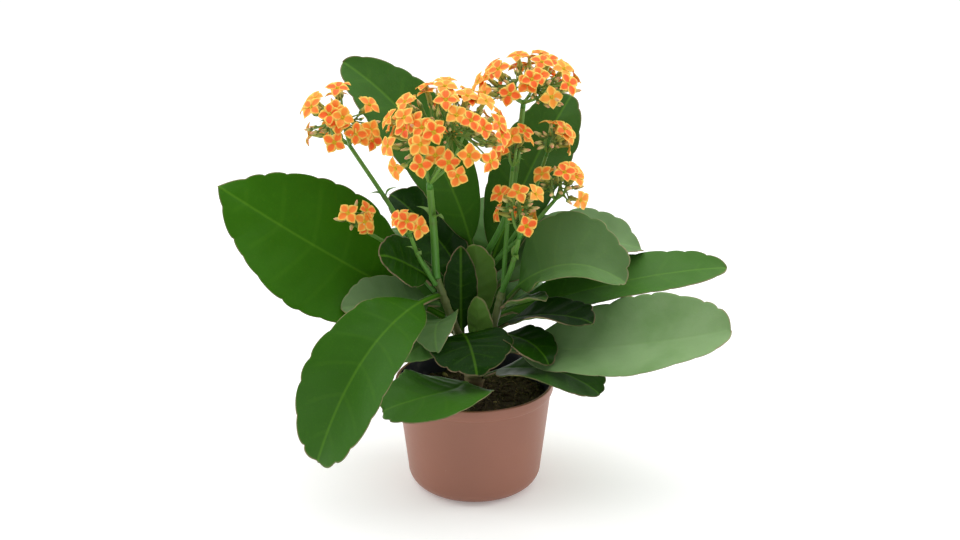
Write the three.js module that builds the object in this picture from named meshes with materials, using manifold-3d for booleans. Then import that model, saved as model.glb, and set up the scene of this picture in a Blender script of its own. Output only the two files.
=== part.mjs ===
// A kalanchoe in flower, standing in a round nursery pot.
// Millimetres, +Z up. The origin is the centre of the pot's underside, and the plant's front is -Y.

import * as THREE from "three";
import { LoftGeometry } from "three/addons/geometries/LoftGeometry.js";
import { mergeVertices } from "three/addons/utils/BufferGeometryUtils.js";
import Module from "manifold-3d";

const wasm = await Module();
wasm.setup();

// ---- Driving dimensions -------------------------------------------------------------------

const JOINT_GAP = 0.3; // left between pieces that touch

const POT_HEIGHT = 73;
const RIM_RADIUS = 52.5; // outside the rim
const BASE_RADIUS = 43; // where the wall would meet the underside
const POT_WALL = 1.2;
const RIM_BAND_HEIGHT = 8;
const RIM_BAND_STEP = 0.9; // how far the band stands out from the wall
const HEEL_RADIUS = 12; // rounding between the wall and the underside
const HEEL_STEPS = 4;
const DRAIN_RADIUS = 3.5;
const DRAIN_CIRCLE = 20; // radius of the circle that the drain holes stand on
const DRAIN_COUNT = 5;
const DRAIN_SIDES = 12;
const POT_SIDES = 48;

const SOIL_DROP = 12; // from the rim's top down to the soil
const ROOT_DEPTH = 28; // how deep the main stem is planted

const STEM_RADIUS = 4.5;
const KNUCKLE_RADIUS = 7; // where the pinched main stem branches into its shoots
const KNUCKLE_HEIGHT = 18; // of its top above the soil
const FLARE_FOOT = 3.6; // above the soil, where the main stem starts to thicken into the knuckle
const FLARE_TOP = 12.6;
const SHOOT_RADIUS = 2.8;
const STEM_SIDES = 16;
const SHOOT_SIDES = 8; // of the shoots and the flower stalks
const SHOOT_STEPS = 6;

const PETIOLE_HALF_WIDTH = 2.4;
const PETIOLE_HALF_DEPTH = 1.5;
const BLADE_HALF_DEPTH = 0.9; // along the midrib
const PETIOLE_SHARE = 0.13; // of the leaf's length
const BLADE_SHOULDER = 0.55; // lower is broader where the petiole meets the blade
const BLADE_OPENS_BY = 0.25; // the share of the blade's length where it has its full fold and thinness
const FOLD_CURVE = 1.5; // 1 folds along a sharp crease, 2 in a round trough
const EDGE_THINNING = 0.3; // how much thinner the blade is at its edge, as a share
const LEAF_LENGTH_SHOWN = 0.985; // the loft stops just short of the tip's vanishing point

const PETAL_COUNT = 4;
const FLOWER_ACROSS = 16;
const PETAL_NOTCH = 0.34; // how far out the notches between the petals are, as a share of their tips
const FLOWER_LENGTH = 9.5; // from the pedicel to the face
const TUBE_RADIUS = 1.5;
const BUD_LENGTH = 7.5;
const RING_STAGGER = 5; // degrees that a ring's flowers lean out and in from it
const BUD_RADIUS = 1.7;
const PEDICEL_RADIUS = 0.8;
const ARM_RADIUS = 1.1;
const STALK_TAPER = 0.8; // a stalk's top as a share of its foot
const NECK_LENGTH = 5; // from the stalk's top to where the arms have parted

const SOIL_TOP = POT_HEIGHT - SOIL_DROP;
const UP = new THREE.Vector3(0, 0, 1);

// ---- Materials ----------------------------------------------------------------------------

const finish = (color, roughness) => new THREE.MeshStandardMaterial({ color, roughness, metalness: 0 });
const potPlastic = finish(0x9a6450, 0.5);
const peat = finish(0x2a2019, 1);
const bark = finish(0x6f7a45, 0.7);
const stalkSkin = finish(0x4f8a3a, 0.55);
const petals = finish(0xf58a1f, 0.6);
const leafGreens = [0x2f6d1c, 0x3d7f22, 0x27601f, 0x4c8733].map((color) => finish(color, 0.4));

// ---- Small helpers ------------------------------------------------------------------------

const NEARLY_UPRIGHT = 0.05; // a direction with less sideways run than this has no side of its own
const WELD = 1e-4; // vertices closer than this are one

const radians = THREE.MathUtils.degToRad;
const vector = ([x, y, z]) => new THREE.Vector3(x, y, z);

// A hand-placed point, given as right, back and up from the middle of the soil's surface.
const planted = ([x, y, z]) => new THREE.Vector3(x, y, z + SOIL_TOP);

function named(name, geometry, material) {
  const mesh = new THREE.Mesh(geometry, material);
  mesh.name = name;
  return mesh;
}

function toSolid(geometry) {
  const bare = new THREE.BufferGeometry();
  bare.setAttribute("position", geometry.getAttribute("position"));
  bare.setIndex(geometry.index);
  const merged = mergeVertices(bare, WELD);
  return new wasm.Manifold(
    new wasm.Mesh({
      numProp: 3,
      vertProperties: new Float32Array(merged.attributes.position.array),
      triVerts: new Uint32Array(merged.index.array),
    }),
  );
}

function toGeometry(solid) {
  const { vertProperties, triVerts } = solid.getMesh();
  const geometry = new THREE.BufferGeometry();
  geometry.setAttribute("position", new THREE.BufferAttribute(vertProperties, 3));
  geometry.setIndex(new THREE.BufferAttribute(triVerts, 1));
  geometry.computeVertexNormals();
  return geometry;
}

// A ring of points round a centre, square to a direction, one radius for each point.
function ring(centre, direction, radii) {
  const side = new THREE.Vector3(-direction.y, direction.x, 0);
  if (side.length() < NEARLY_UPRIGHT) side.set(0, 1, 0);
  side.normalize();
  const front = new THREE.Vector3().crossVectors(side, direction).normalize();
  return radii.map((radius, i) => {
    const angle = (i / radii.length) * 2 * Math.PI;
    return centre
      .clone()
      .addScaledVector(front, radius * Math.cos(angle))
      .addScaledVector(side, radius * Math.sin(angle));
  });
}

const evenRadii = (radius, sides) => new Array(sides).fill(radius);

// A closed tube along a curve, tapering from one radius to the other.
function tube(curve, startRadius, endRadius, sides, steps) {
  const sections = [];
  for (let i = 0; i <= steps; i++) {
    const along = i / steps;
    const radii = evenRadii(THREE.MathUtils.lerp(startRadius, endRadius, along), sides);
    sections.push(ring(curve.getPointAt(along), curve.getTangentAt(along), radii));
  }
  return new LoftGeometry(sections, { capStart: true, capEnd: true });
}

const rod = (from, to, radius, sides) => tube(new THREE.LineCurve3(from, to), radius, radius, sides, 1);

// A closed outline of [radius, height] points turned about the upright axis.
function turned(outline, sides) {
  return new THREE.LatheGeometry(outline, sides).rotateX(Math.PI / 2);
}

// ---- Pot and soil -------------------------------------------------------------------------

// The wall's outer radius at a height, below the rim band.
function wallRadius(height) {
  return THREE.MathUtils.lerp(BASE_RADIUS, RIM_RADIUS - RIM_BAND_STEP, height / POT_HEIGHT);
}

// The rounded heel as points from the underside up to the wall, moved inwards by an inset.
function heelArc(inset) {
  const centreRadius = wallRadius(HEEL_RADIUS) - HEEL_RADIUS;
  const reach = HEEL_RADIUS - inset;
  const points = [];
  for (let i = 0; i <= HEEL_STEPS; i++) {
    const angle = radians(90 * (i / HEEL_STEPS - 1));
    const radius = centreRadius + reach * Math.cos(angle);
    points.push(new THREE.Vector2(radius, HEEL_RADIUS + reach * Math.sin(angle)));
  }
  return points;
}

function makePot() {
  const bandFoot = POT_HEIGHT - RIM_BAND_HEIGHT;
  const lip = POT_WALL / 2;
  const outline = [
    new THREE.Vector2(0, 0),
    ...heelArc(0),
    new THREE.Vector2(wallRadius(bandFoot), bandFoot),
    new THREE.Vector2(wallRadius(bandFoot) + RIM_BAND_STEP, bandFoot + RIM_BAND_STEP),
    new THREE.Vector2(RIM_RADIUS, POT_HEIGHT - lip),
    new THREE.Vector2(RIM_RADIUS - lip, POT_HEIGHT),
    new THREE.Vector2(wallRadius(POT_HEIGHT) - POT_WALL, POT_HEIGHT),
    ...heelArc(POT_WALL).reverse(),
    new THREE.Vector2(0, POT_WALL),
  ];
  let solid = toSolid(turned(outline, POT_SIDES));
  for (let i = 0; i < DRAIN_COUNT; i++) {
    const angle = (i / DRAIN_COUNT) * 2 * Math.PI;
    const at = new THREE.Vector3(DRAIN_CIRCLE * Math.cos(angle), DRAIN_CIRCLE * Math.sin(angle), 0);
    const above = at.clone().addScaledVector(UP, 2 * POT_WALL);
    const below = at.clone().addScaledVector(UP, -POT_WALL);
    solid = solid.subtract(toSolid(rod(below, above, DRAIN_RADIUS, DRAIN_SIDES)));
  }
  return named("pot", toGeometry(solid), potPlastic);
}

// The root ball fills the pot up to the soil line and has a socket for the planted main stem.
function makeSoil() {
  const clear = POT_WALL + JOINT_GAP;
  const socketRadius = STEM_RADIUS + JOINT_GAP;
  const socketFloor = SOIL_TOP - ROOT_DEPTH - JOINT_GAP;
  const outline = [
    new THREE.Vector2(0, clear),
    ...heelArc(clear),
    new THREE.Vector2(wallRadius(SOIL_TOP) - clear, SOIL_TOP),
    new THREE.Vector2(socketRadius, SOIL_TOP),
    new THREE.Vector2(socketRadius, socketFloor),
    new THREE.Vector2(0, socketFloor),
  ];
  return named("potting_soil", turned(outline, POT_SIDES), peat);
}

// ---- Stems --------------------------------------------------------------------------------

// The main stem is a straight post with a thick knuckle on top, where it was once pinched out.
const mainStem = new THREE.LineCurve3(planted([0, 0, -ROOT_DEPTH]), planted([0, 0, KNUCKLE_HEIGHT]));

// A shoot's route from the knuckle's top, given as right, back and up from the middle of that top.
function shoot(points) {
  const onKnuckle = ([x, y, z]) => planted([x, y, z + KNUCKLE_HEIGHT + JOINT_GAP]);
  return { curve: new THREE.CatmullRomCurve3(points.map(onKnuckle)), radius: SHOOT_RADIUS };
}

const stems = {
  main_stem: { curve: mainStem, radius: KNUCKLE_RADIUS },
  left_shoot: shoot([[-3.6, -2, 1], [-9, -7, 24], [-17, -12, 48], [-24, -15, 70]]),
  right_shoot: shoot([[3.6, -2, 1], [9, -6, 22], [14, -9, 42], [18, -10, 59]]),
  back_shoot: shoot([[0, 4.2, 1], [1, 12, 24], [4, 17, 52], [8, 18, 74]]),
};

function makeMainStem() {
  const outline = [
    new THREE.Vector2(0, SOIL_TOP - ROOT_DEPTH),
    new THREE.Vector2(STEM_RADIUS, SOIL_TOP - ROOT_DEPTH),
    new THREE.Vector2(STEM_RADIUS, SOIL_TOP + FLARE_FOOT),
    new THREE.Vector2(KNUCKLE_RADIUS, SOIL_TOP + FLARE_TOP),
    new THREE.Vector2(KNUCKLE_RADIUS, SOIL_TOP + KNUCKLE_HEIGHT),
    new THREE.Vector2(0, SOIL_TOP + KNUCKLE_HEIGHT),
  ];
  return named("main_stem", turned(outline, STEM_SIDES), bark);
}

function makeShoot(name) {
  const { curve, radius } = stems[name];
  return named(name, tube(curve, radius, radius, SHOOT_SIDES, SHOOT_STEPS), bark);
}

// ---- Leaves -------------------------------------------------------------------------------

// stem, at: the stem it grows on, and how far up it, 0 to 1
// toward: the way it points, in degrees, 0 to the right and -90 to the front
// spread, rise: from the leaf's foot to its tip, outwards and upwards
// arch, swing: how far the middle lifts above the straight line, and bends to its left
// width, roll, cup: the blade's width, its turn about its own length, and its fold along the midrib
// point: from 0, a round tip, to 1, a pointed one
const leaves = [
  // name, stem, at, toward, spread, rise, arch, swing, width, roll, cup, point
  ["left_large", "left_shoot", 0.62, 186, 139, 92, -2, 0, 84, -56, 6, 0.9],
  ["left_hanging", "left_shoot", 0.85, 226, 104, -80, 40, 20, 54, -26, 22, 0.1],
  ["left_inner", "left_shoot", 0.98, 214, 38, 26, 4, 0, 34, -46, 8, 0.2],
  ["left_folded", "left_shoot", 0.76, 202, 66, 6, 2, 0, 34, -44, 20, 0.4],
  ["front_low", "main_stem", 0.85, 230, 80, 8, 10, 18, 64, 0, 6, 0],
  ["front_right_dark", "left_shoot", 0.4, 284, 46, -8, 10, 0, 52, 4, 8, 0.2],
  ["front_left_small", "left_shoot", 0.56, 258, 38, -5, 10, -4, 30, 16, 18, 0.5],
  ["front_left_sliver", "left_shoot", 0.3, 228, 50, 4, 9, 0, 34, -10, 10, 0.4],
  ["centre_upright", "left_shoot", 0.3, 90, 2, 64, 2, 0, 20, 0, 10, 0.4],
  ["centre_narrow", "right_shoot", 0.2, 250, 9, 46, 0, 0, 16, 0, 10, 0.6],
  ["centre_dark", "back_shoot", 0.3, 270, 2, 62, 0, 0, 26, 0, 10, 0.3],
  ["centre_right_dark", "right_shoot", 0.45, 318, 46, -6, 10, 0, 34, 0, 10, 0.2],
  ["centre_back", "back_shoot", 0.56, 166, 56, 70, 8, 0, 52, -20, 10, 0.3],
  ["right_upper", "right_shoot", 0.92, 350, 76, 16, 18, 0, 66, 26, 32, 0.5],
  ["right_small_glossy", "right_shoot", 0.84, 312, 40, 16, 3, 0, 18, 0, 12, 0.4],
  ["right_dark", "right_shoot", 0.58, 338, 64, 12, 8, 0, 44, 0, 12, 0.2],
  ["right_large", "right_shoot", 0.3, 340, 156, 35, -5, 0, 66, 30, 18, 0],
  ["right_far", "back_shoot", 0.4, 359, 160, 38, 6, 0, 48, 16, 12, 0.2],
  ["right_behind", "back_shoot", 0.6, 12, 108, 26, 20, 0, 58, 14, 20, 0.2],
  ["right_low", "main_stem", 0.93, 330, 84, 6, 12, 0, 58, 0, 10, 0.2],
  ["left_top", "back_shoot", 0.8, 152, 100, 132, 22, 0, 48, -40, 12, 0.2],
  ["right_top", "back_shoot", 0.78, 40, 74, 112, 6, 0, 48, 30, 14, 0.2],
  ["back_left_low", "back_shoot", 0.14, 154, 106, 16, 20, 0, 64, 0, 12, 0.2],
  ["back_low", "back_shoot", 0.24, 98, 100, 6, 24, 0, 64, 0, 12, 0.2],
  ["back_right_low", "back_shoot", 0.14, 52, 104, 6, 22, 0, 62, 0, 12, 0.2],
  ["back_left_upper", "back_shoot", 0.42, 132, 86, 40, 20, 0, 54, 0, 14, 0.2],
  ["back_right_upper", "back_shoot", 0.6, 66, 80, 40, 20, 0, 54, 0, 14, 0.2],
].map(([name, stem, at, toward, spread, rise, arch, swing, width, roll, cup, point]) => (
  { name, stem, at, toward, spread, rise, arch, swing, width, roll, cup, point }
));

const LEAF_STATIONS = [0, 0.13, 0.2, 0.32, 0.48, 0.64, 0.8, 0.92, 1];
// The section's points as a share of the half-width and half-depth: from the left edge over the
// top to the right edge, and back underneath.
const LEAF_SECTION = [[1, 0], [0.5, 1], [0, 1], [-0.5, 1], [-1, 0], [-0.5, -1], [0, -1], [0.5, -1]];

// The blade's half-width as a share of its widest, from the petiole's end, 0, to the tip, 1.
function bladeOutline(along, point) {
  const taper = (1 + point) / 2;
  const widestSquared = BLADE_SHOULDER / (BLADE_SHOULDER + 2 * taper);
  const shape = (squared) => Math.pow(squared, BLADE_SHOULDER / 2) * Math.pow(1 - squared, taper);
  return shape(along * along) / shape(widestSquared);
}

// The middle of the leaf's foot, held clear of the stem it grows on.
function leafFoot({ curve, radius }, at, outwards, across, above) {
  const along = curve.getTangentAt(at);
  const away = outwards.clone().addScaledVector(along, -outwards.dot(along)).normalize();
  const reach = Math.hypot(PETIOLE_HALF_DEPTH * above.dot(away), PETIOLE_HALF_WIDTH * across.dot(away));
  return curve.getPointAt(at).addScaledVector(away, radius + JOINT_GAP + reach);
}

function makeLeaf(leaf, index) {
  const toward = radians(leaf.toward);
  const outwards = new THREE.Vector3(Math.cos(toward), Math.sin(toward), 0);
  const chord = outwards.clone().multiplyScalar(leaf.spread).addScaledVector(UP, leaf.rise);
  const sideways = new THREE.Vector3().crossVectors(UP, outwards);
  const lift = new THREE.Vector3().crossVectors(chord, sideways).normalize();
  const bend = lift.multiplyScalar(leaf.arch).addScaledVector(sideways, leaf.swing);

  // The leaf's own directions at a share of its length: along it, across to its left, and above it.
  const frameAt = (t) => {
    const along = chord.clone().addScaledVector(bend, 4 * (1 - 2 * t)).normalize();
    const across = sideways.clone().addScaledVector(along, -sideways.dot(along)).normalize();
    across.applyAxisAngle(along, radians(leaf.roll));
    return { across, above: new THREE.Vector3().crossVectors(along, across) };
  };
  const start = frameAt(0);
  const foot = leafFoot(stems[leaf.stem], leaf.at, outwards, start.across, start.above);

  const sections = LEAF_STATIONS.map((station) => {
    const t = station * LEAF_LENGTH_SHOWN;
    const centre = foot.clone().addScaledVector(chord, t).addScaledVector(bend, 4 * t * (1 - t));
    const { across, above } = frameAt(t);
    const blade = Math.max(0, (t - PETIOLE_SHARE) / (1 - PETIOLE_SHARE));
    const opened = Math.min(1, blade / BLADE_OPENS_BY);
    const halfWidth = PETIOLE_HALF_WIDTH * (1 - blade) + (leaf.width / 2) * bladeOutline(blade, leaf.point);
    const halfDepth = THREE.MathUtils.lerp(PETIOLE_HALF_DEPTH, BLADE_HALF_DEPTH, opened);
    const fold = radians(leaf.cup) * opened;
    return LEAF_SECTION.map(([u, side]) =>
      centre
        .clone()
        .addScaledVector(across, u * halfWidth * Math.cos(fold))
        .addScaledVector(above, Math.pow(Math.abs(u), FOLD_CURVE) * halfWidth * Math.sin(fold))
        .addScaledVector(above, side * halfDepth * (1 - EDGE_THINNING * Math.abs(u))),
    );
  });
  const geometry = new LoftGeometry(sections, { capStart: true, capEnd: true });
  return named("leaf_" + leaf.name, geometry, leafGreens[index % leafGreens.length]);
}

// ---- Flower stalks and heads ----------------------------------------------------------------

// A stalk rises from its stem's top, or from the stem's side where `toward` is given, through its points.
// Its head is a dome of flowers round a heart, with its reach outwards and upwards. The flowers stand in
// rings: how far a ring leans from upright, its flowers, and the bearings that its arc runs between, in
// degrees. Each bud is given by its bearing round the dome and its lean.
const blooms = [
  {
    name: "centre", stem: "left_shoot", at: 1, stalkRadius: 2.6,
    points: [[-25, -20, 118], [-27, -29, 152]],
    heart: [-17, -33, 183], reach: [37, 36],
    rings: [[15, 2, 0, 360], [38, 5, 20, 380], [62, 9, 0, 360], [84, 8, -180, 180], [104, 4, -165, -25]],
    buds: [[-20, 88], [-20, 108], [-130, 95], [-128, 62], [-25, 68], [20, 98], [110, 95], [160, 100]],
  },
  {
    name: "left", stem: "left_shoot", at: 0.97, toward: 140, stalkRadius: 1.7,
    points: [[-50, -3, 127], [-77, 4, 168]],
    heart: [-84, 3, 181], reach: [26, 29],
    rings: [[20, 2, 0, 360], [58, 6, 10, 370], [88, 2, -120, -10]],
    buds: [[-100, 95], [-70, 85], [-130, 85], [0, 80], [120, 80]],
  },
  {
    name: "top_right", stem: "back_shoot", at: 1, stalkRadius: 2.1,
    points: [[20, 12, 120], [26, 8, 150], [30.5, 6, 194]],
    heart: [35, 9, 203], reach: [34, 24],
    rings: [[18, 3, 0, 360], [48, 6, 0, 360], [70, 5, -150, 210]],
    buds: [[-60, 85], [-140, 72], [-65, 55], [-20, 80], [160, 85]],
  },
  {
    name: "right_front", stem: "right_shoot", at: 1, stalkRadius: 1.9,
    points: [[24, -18, 98], [28, -24, 118]],
    heart: [27, -24, 134], reach: [14, 24],
    rings: [[50, 3, -200, 20]],
    buds: [[0, 80], [180, 80], [90, 80], [-30, 60], [210, 60]],
  },
  {
    name: "right", stem: "back_shoot", at: 0.92, toward: -10, stalkRadius: 1.5,
    points: [[34, 8, 112], [50, 0, 134]],
    heart: [53, -1, 142], reach: [17, 18],
    rings: [[40, 3, -190, 50]],
    buds: [[0, 80], [-60, 70], [-60, 105], [-110, 85], [60, 80]],
  },
  {
    name: "right_upper", stem: "back_shoot", at: 0.86, toward: 20, stalkRadius: 1.5,
    points: [[32, 20, 116], [46, 16, 160]],
    heart: [49, 13, 170], reach: [13, 14],
    rings: [[40, 2, -90, 150]],
    buds: [[180, 60], [-90, 90], [-150, 85], [0, 95]],
  },
  {
    name: "front_upper", stem: "right_shoot", at: 0.97, toward: 80, stalkRadius: 1.5,
    points: [[21, -2, 118], [24, -4, 156]],
    heart: [25, -6, 168], reach: [11, 18],
    rings: [[40, 2, -150, 30]],
    buds: [[-20, 80], [180, 75], [90, 70]],
  },
  {
    name: "left_front", stem: "left_shoot", at: 0.97, toward: 250, stalkRadius: 1.5,
    points: [[-34, -28, 106], [-39, -37, 124]],
    heart: [-39, -40, 130], reach: [10, 12],
    rings: [[50, 1, -180, -20]],
    buds: [[0, 50], [-30, 85], [90, 60]],
  },
  {
    name: "far_left", stem: "left_shoot", at: 0.88, toward: 184, stalkRadius: 1.4,
    points: [[-48, -15, 106], [-70, -18, 122]],
    heart: [-76, -19, 128], reach: [12, 14],
    rings: [[50, 1, -180, -20]],
    buds: [[180, 85], [-90, 100], [0, 70], [60, 30], [-45, 90]],
  },
];

const ARM_COUNT = 5;
const ARM_REACH = 0.38; // how far out the arms fork, as a share of the dome
const ARM_LEAN = 60;
const NECK_SHARE = 0.6; // where the arms start, as a share of the neck
const NECK_SIDES = 6;
const ARM_SIDES = 4; // of the arms and the buds
const PEDICEL_SIDES = 3;
const PEDICEL_REACH = 0.9; // where a pedicel ends inside its flower or bud, as a share back from the tip
// A bud's sections from its foot to its tip: how far back, and how thick, as shares.
const BUD_SECTIONS = [[1, 0.6], [0.5, 1], [0, 0.3]];

// A place on a dome, or a direction out of it where the dome is a unit sphere.
function leaning([bearing, lean], [across, up]) {
  const out = across * Math.sin(radians(lean));
  const turn = radians(bearing);
  return vector([out * Math.cos(turn), out * Math.sin(turn), up * Math.cos(radians(lean))]);
}

// One flower: a slim tube that opens into a flat face of four pointed petals.
function flowerSolid(centre, facing) {
  const tip = FLOWER_ACROSS / 2;
  const star = Array.from({ length: 2 * PETAL_COUNT }, (_, i) => (i % 2 ? PETAL_NOTCH * tip : tip));
  const back = (distance) => centre.clone().addScaledVector(facing, -distance);
  return new LoftGeometry(
    [
      ring(back(FLOWER_LENGTH), facing, evenRadii(TUBE_RADIUS, star.length)),
      ring(centre, facing, star),
    ],
    { capStart: true, capEnd: true },
  );
}

function budSolid(tip, facing) {
  const sections = BUD_SECTIONS.map(([back, thick]) => {
    const centre = tip.clone().addScaledVector(facing, -back * BUD_LENGTH);
    return ring(centre, facing, evenRadii(thick * BUD_RADIUS, ARM_SIDES));
  });
  return new LoftGeometry(sections, { capStart: true, capEnd: true });
}

function stalkCurve(bloom) {
  const { curve, radius } = stems[bloom.stem];
  const foot = curve.getPointAt(bloom.at);
  const along = curve.getTangentAt(bloom.at);
  if (bloom.toward === undefined) {
    const turn = along.angleTo(planted(bloom.points[0]).sub(foot));
    foot.addScaledVector(along, JOINT_GAP + bloom.stalkRadius * Math.sin(turn));
  } else {
    const toward = radians(bloom.toward);
    const outwards = new THREE.Vector3(Math.cos(toward), Math.sin(toward), 0);
    outwards.addScaledVector(along, -outwards.dot(along)).normalize();
    foot.addScaledVector(outwards, radius + bloom.stalkRadius + JOINT_GAP);
  }
  return new THREE.CatmullRomCurve3([foot, ...bloom.points.map(planted)]);
}

function makeStalk(bloom) {
  const tipRadius = STALK_TAPER * bloom.stalkRadius;
  const geometry = tube(stalkCurve(bloom), bloom.stalkRadius, tipRadius, SHOOT_SIDES, SHOOT_STEPS);
  return named("flower_stalk_" + bloom.name, geometry, stalkSkin);
}

// The places of a ring's flowers, spread evenly along its arc and leaning out and in by turns.
function ringPlaces([lean, count, from, to]) {
  return Array.from({ length: count }, (_, i) => {
    return [from + ((i + 0.5) / count) * (to - from), lean + (i % 2 ? -RING_STAGGER : RING_STAGGER)];
  });
}

function makeHead(bloom) {
  const curve = stalkCurve(bloom);
  const along = curve.getTangentAt(1);
  const fork = curve.getPointAt(1).addScaledVector(along, JOINT_GAP);
  const neck = fork.clone().addScaledVector(along, NECK_LENGTH);
  const heart = planted(bloom.heart);
  const pieces = [rod(fork, neck, STALK_TAPER * bloom.stalkRadius, NECK_SIDES)];
  const arms = [];
  for (let i = 0; i < ARM_COUNT; i++) {
    const reach = leaning([(i / ARM_COUNT) * 360, ARM_LEAN], bloom.reach);
    const end = heart.clone().addScaledVector(reach, ARM_REACH);
    arms.push(end);
    pieces.push(rod(fork.clone().lerp(neck, NECK_SHARE), end, ARM_RADIUS, ARM_SIDES));
  }
  const nearestArm = (point) => arms.reduce((a, b) => (b.distanceTo(point) < a.distanceTo(point) ? b : a));
  for (const [places, length, make] of [
    [bloom.rings.flatMap(ringPlaces), FLOWER_LENGTH, flowerSolid],
    [bloom.buds, BUD_LENGTH, budSolid],
  ]) {
    for (const place of places) {
      const facing = leaning(place, [1, 1]);
      const tip = heart.clone().add(leaning(place, bloom.reach));
      const foot = tip.clone().addScaledVector(facing, -PEDICEL_REACH * length);
      pieces.push(make(tip, facing), rod(nearestArm(foot), foot, PEDICEL_RADIUS, PEDICEL_SIDES));
    }
  }
  const solid = wasm.Manifold.union(pieces.map(toSolid));
  return named("flower_head_" + bloom.name, toGeometry(solid), petals);
}

// ---- The whole plant ------------------------------------------------------------------------

const kalanchoe = new THREE.Group();
kalanchoe.add(makePot(), makeSoil());
kalanchoe.add(makeMainStem());
kalanchoe.add(...["left_shoot", "right_shoot", "back_shoot"].map(makeShoot));
kalanchoe.add(...leaves.map(makeLeaf));
kalanchoe.add(...blooms.flatMap((bloom) => [makeStalk(bloom), makeHead(bloom)]));

export default kalanchoe;
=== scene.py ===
"""A kalanchoe in flower, standing in a round nursery pot.

The tables and sizes are in millimetres, +Z up, with the origin at the centre of the pot's underside
and the plant's front towards -Y. Every piece is scaled to metres as it is made.
"""

import math
import random

import bmesh
import bpy
import numpy as np
from bpy.props import FloatProperty, FloatVectorProperty, IntProperty, PointerProperty
from mathutils import Matrix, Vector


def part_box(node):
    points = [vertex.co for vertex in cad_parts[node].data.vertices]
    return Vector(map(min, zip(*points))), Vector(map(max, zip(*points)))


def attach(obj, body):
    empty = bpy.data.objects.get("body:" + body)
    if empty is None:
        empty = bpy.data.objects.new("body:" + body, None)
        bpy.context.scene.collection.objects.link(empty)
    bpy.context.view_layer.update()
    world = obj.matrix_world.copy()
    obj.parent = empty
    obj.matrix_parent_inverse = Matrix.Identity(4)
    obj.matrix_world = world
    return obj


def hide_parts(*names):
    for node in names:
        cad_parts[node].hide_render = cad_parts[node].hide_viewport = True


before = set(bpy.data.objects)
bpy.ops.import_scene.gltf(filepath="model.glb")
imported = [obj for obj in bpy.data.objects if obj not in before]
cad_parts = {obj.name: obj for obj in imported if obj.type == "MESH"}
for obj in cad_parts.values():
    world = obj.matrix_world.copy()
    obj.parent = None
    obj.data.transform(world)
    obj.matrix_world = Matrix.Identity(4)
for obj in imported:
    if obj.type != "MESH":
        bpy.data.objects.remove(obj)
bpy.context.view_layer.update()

bl_info = {
    "name": "Potted Kalanchoe",
    "version": (1, 0, 0),
    "blender": (4, 5, 0),
    "location": "View3D > Sidebar > Kalanchoe",
    "description": "Makes a kalanchoe in flower, in its nursery pot",
    "category": "Add Mesh",
}

MM = 0.001
UP = np.array([0.0, 0.0, 1.0])

# ---- The plant's layout -------------------------------------------------------------------

POT_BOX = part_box("pot")
POT_HEIGHT = POT_BOX[1].z / MM
RIM_RADIUS = POT_BOX[1].x / MM
SOIL_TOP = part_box("potting_soil")[1].z / MM
JOINT_GAP = 0.3
ROOT_DEPTH = 28
STEM_RADIUS = 4.5
KNUCKLE_RADIUS = 7
KNUCKLE_HEIGHT = 18
SHOOT_RADIUS = 2.8

# A shoot's route from the knuckle's top: right, back and up from the middle of that top.
SHOOTS = {
    "left_shoot": [[-3.6, -2, 1], [-9, -7, 24], [-17, -12, 48], [-24, -15, 70]],
    "right_shoot": [[3.6, -2, 1], [9, -6, 22], [14, -9, 42], [18, -10, 59]],
    "back_shoot": [[0, 4.2, 1], [1, 12, 24], [4, 17, 52], [8, 18, 74]],
}

PETIOLE_HALF_WIDTH = 2.4
PETIOLE_HALF_DEPTH = 1.5
PETIOLE_SHARE = 0.13
BLADE_HALF_DEPTH = 0.9
BLADE_SHOULDER = 0.55
BLADE_OPENS_BY = 0.25
FOLD_CURVE = 1.5
VEIN_COUNT = 7

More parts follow.
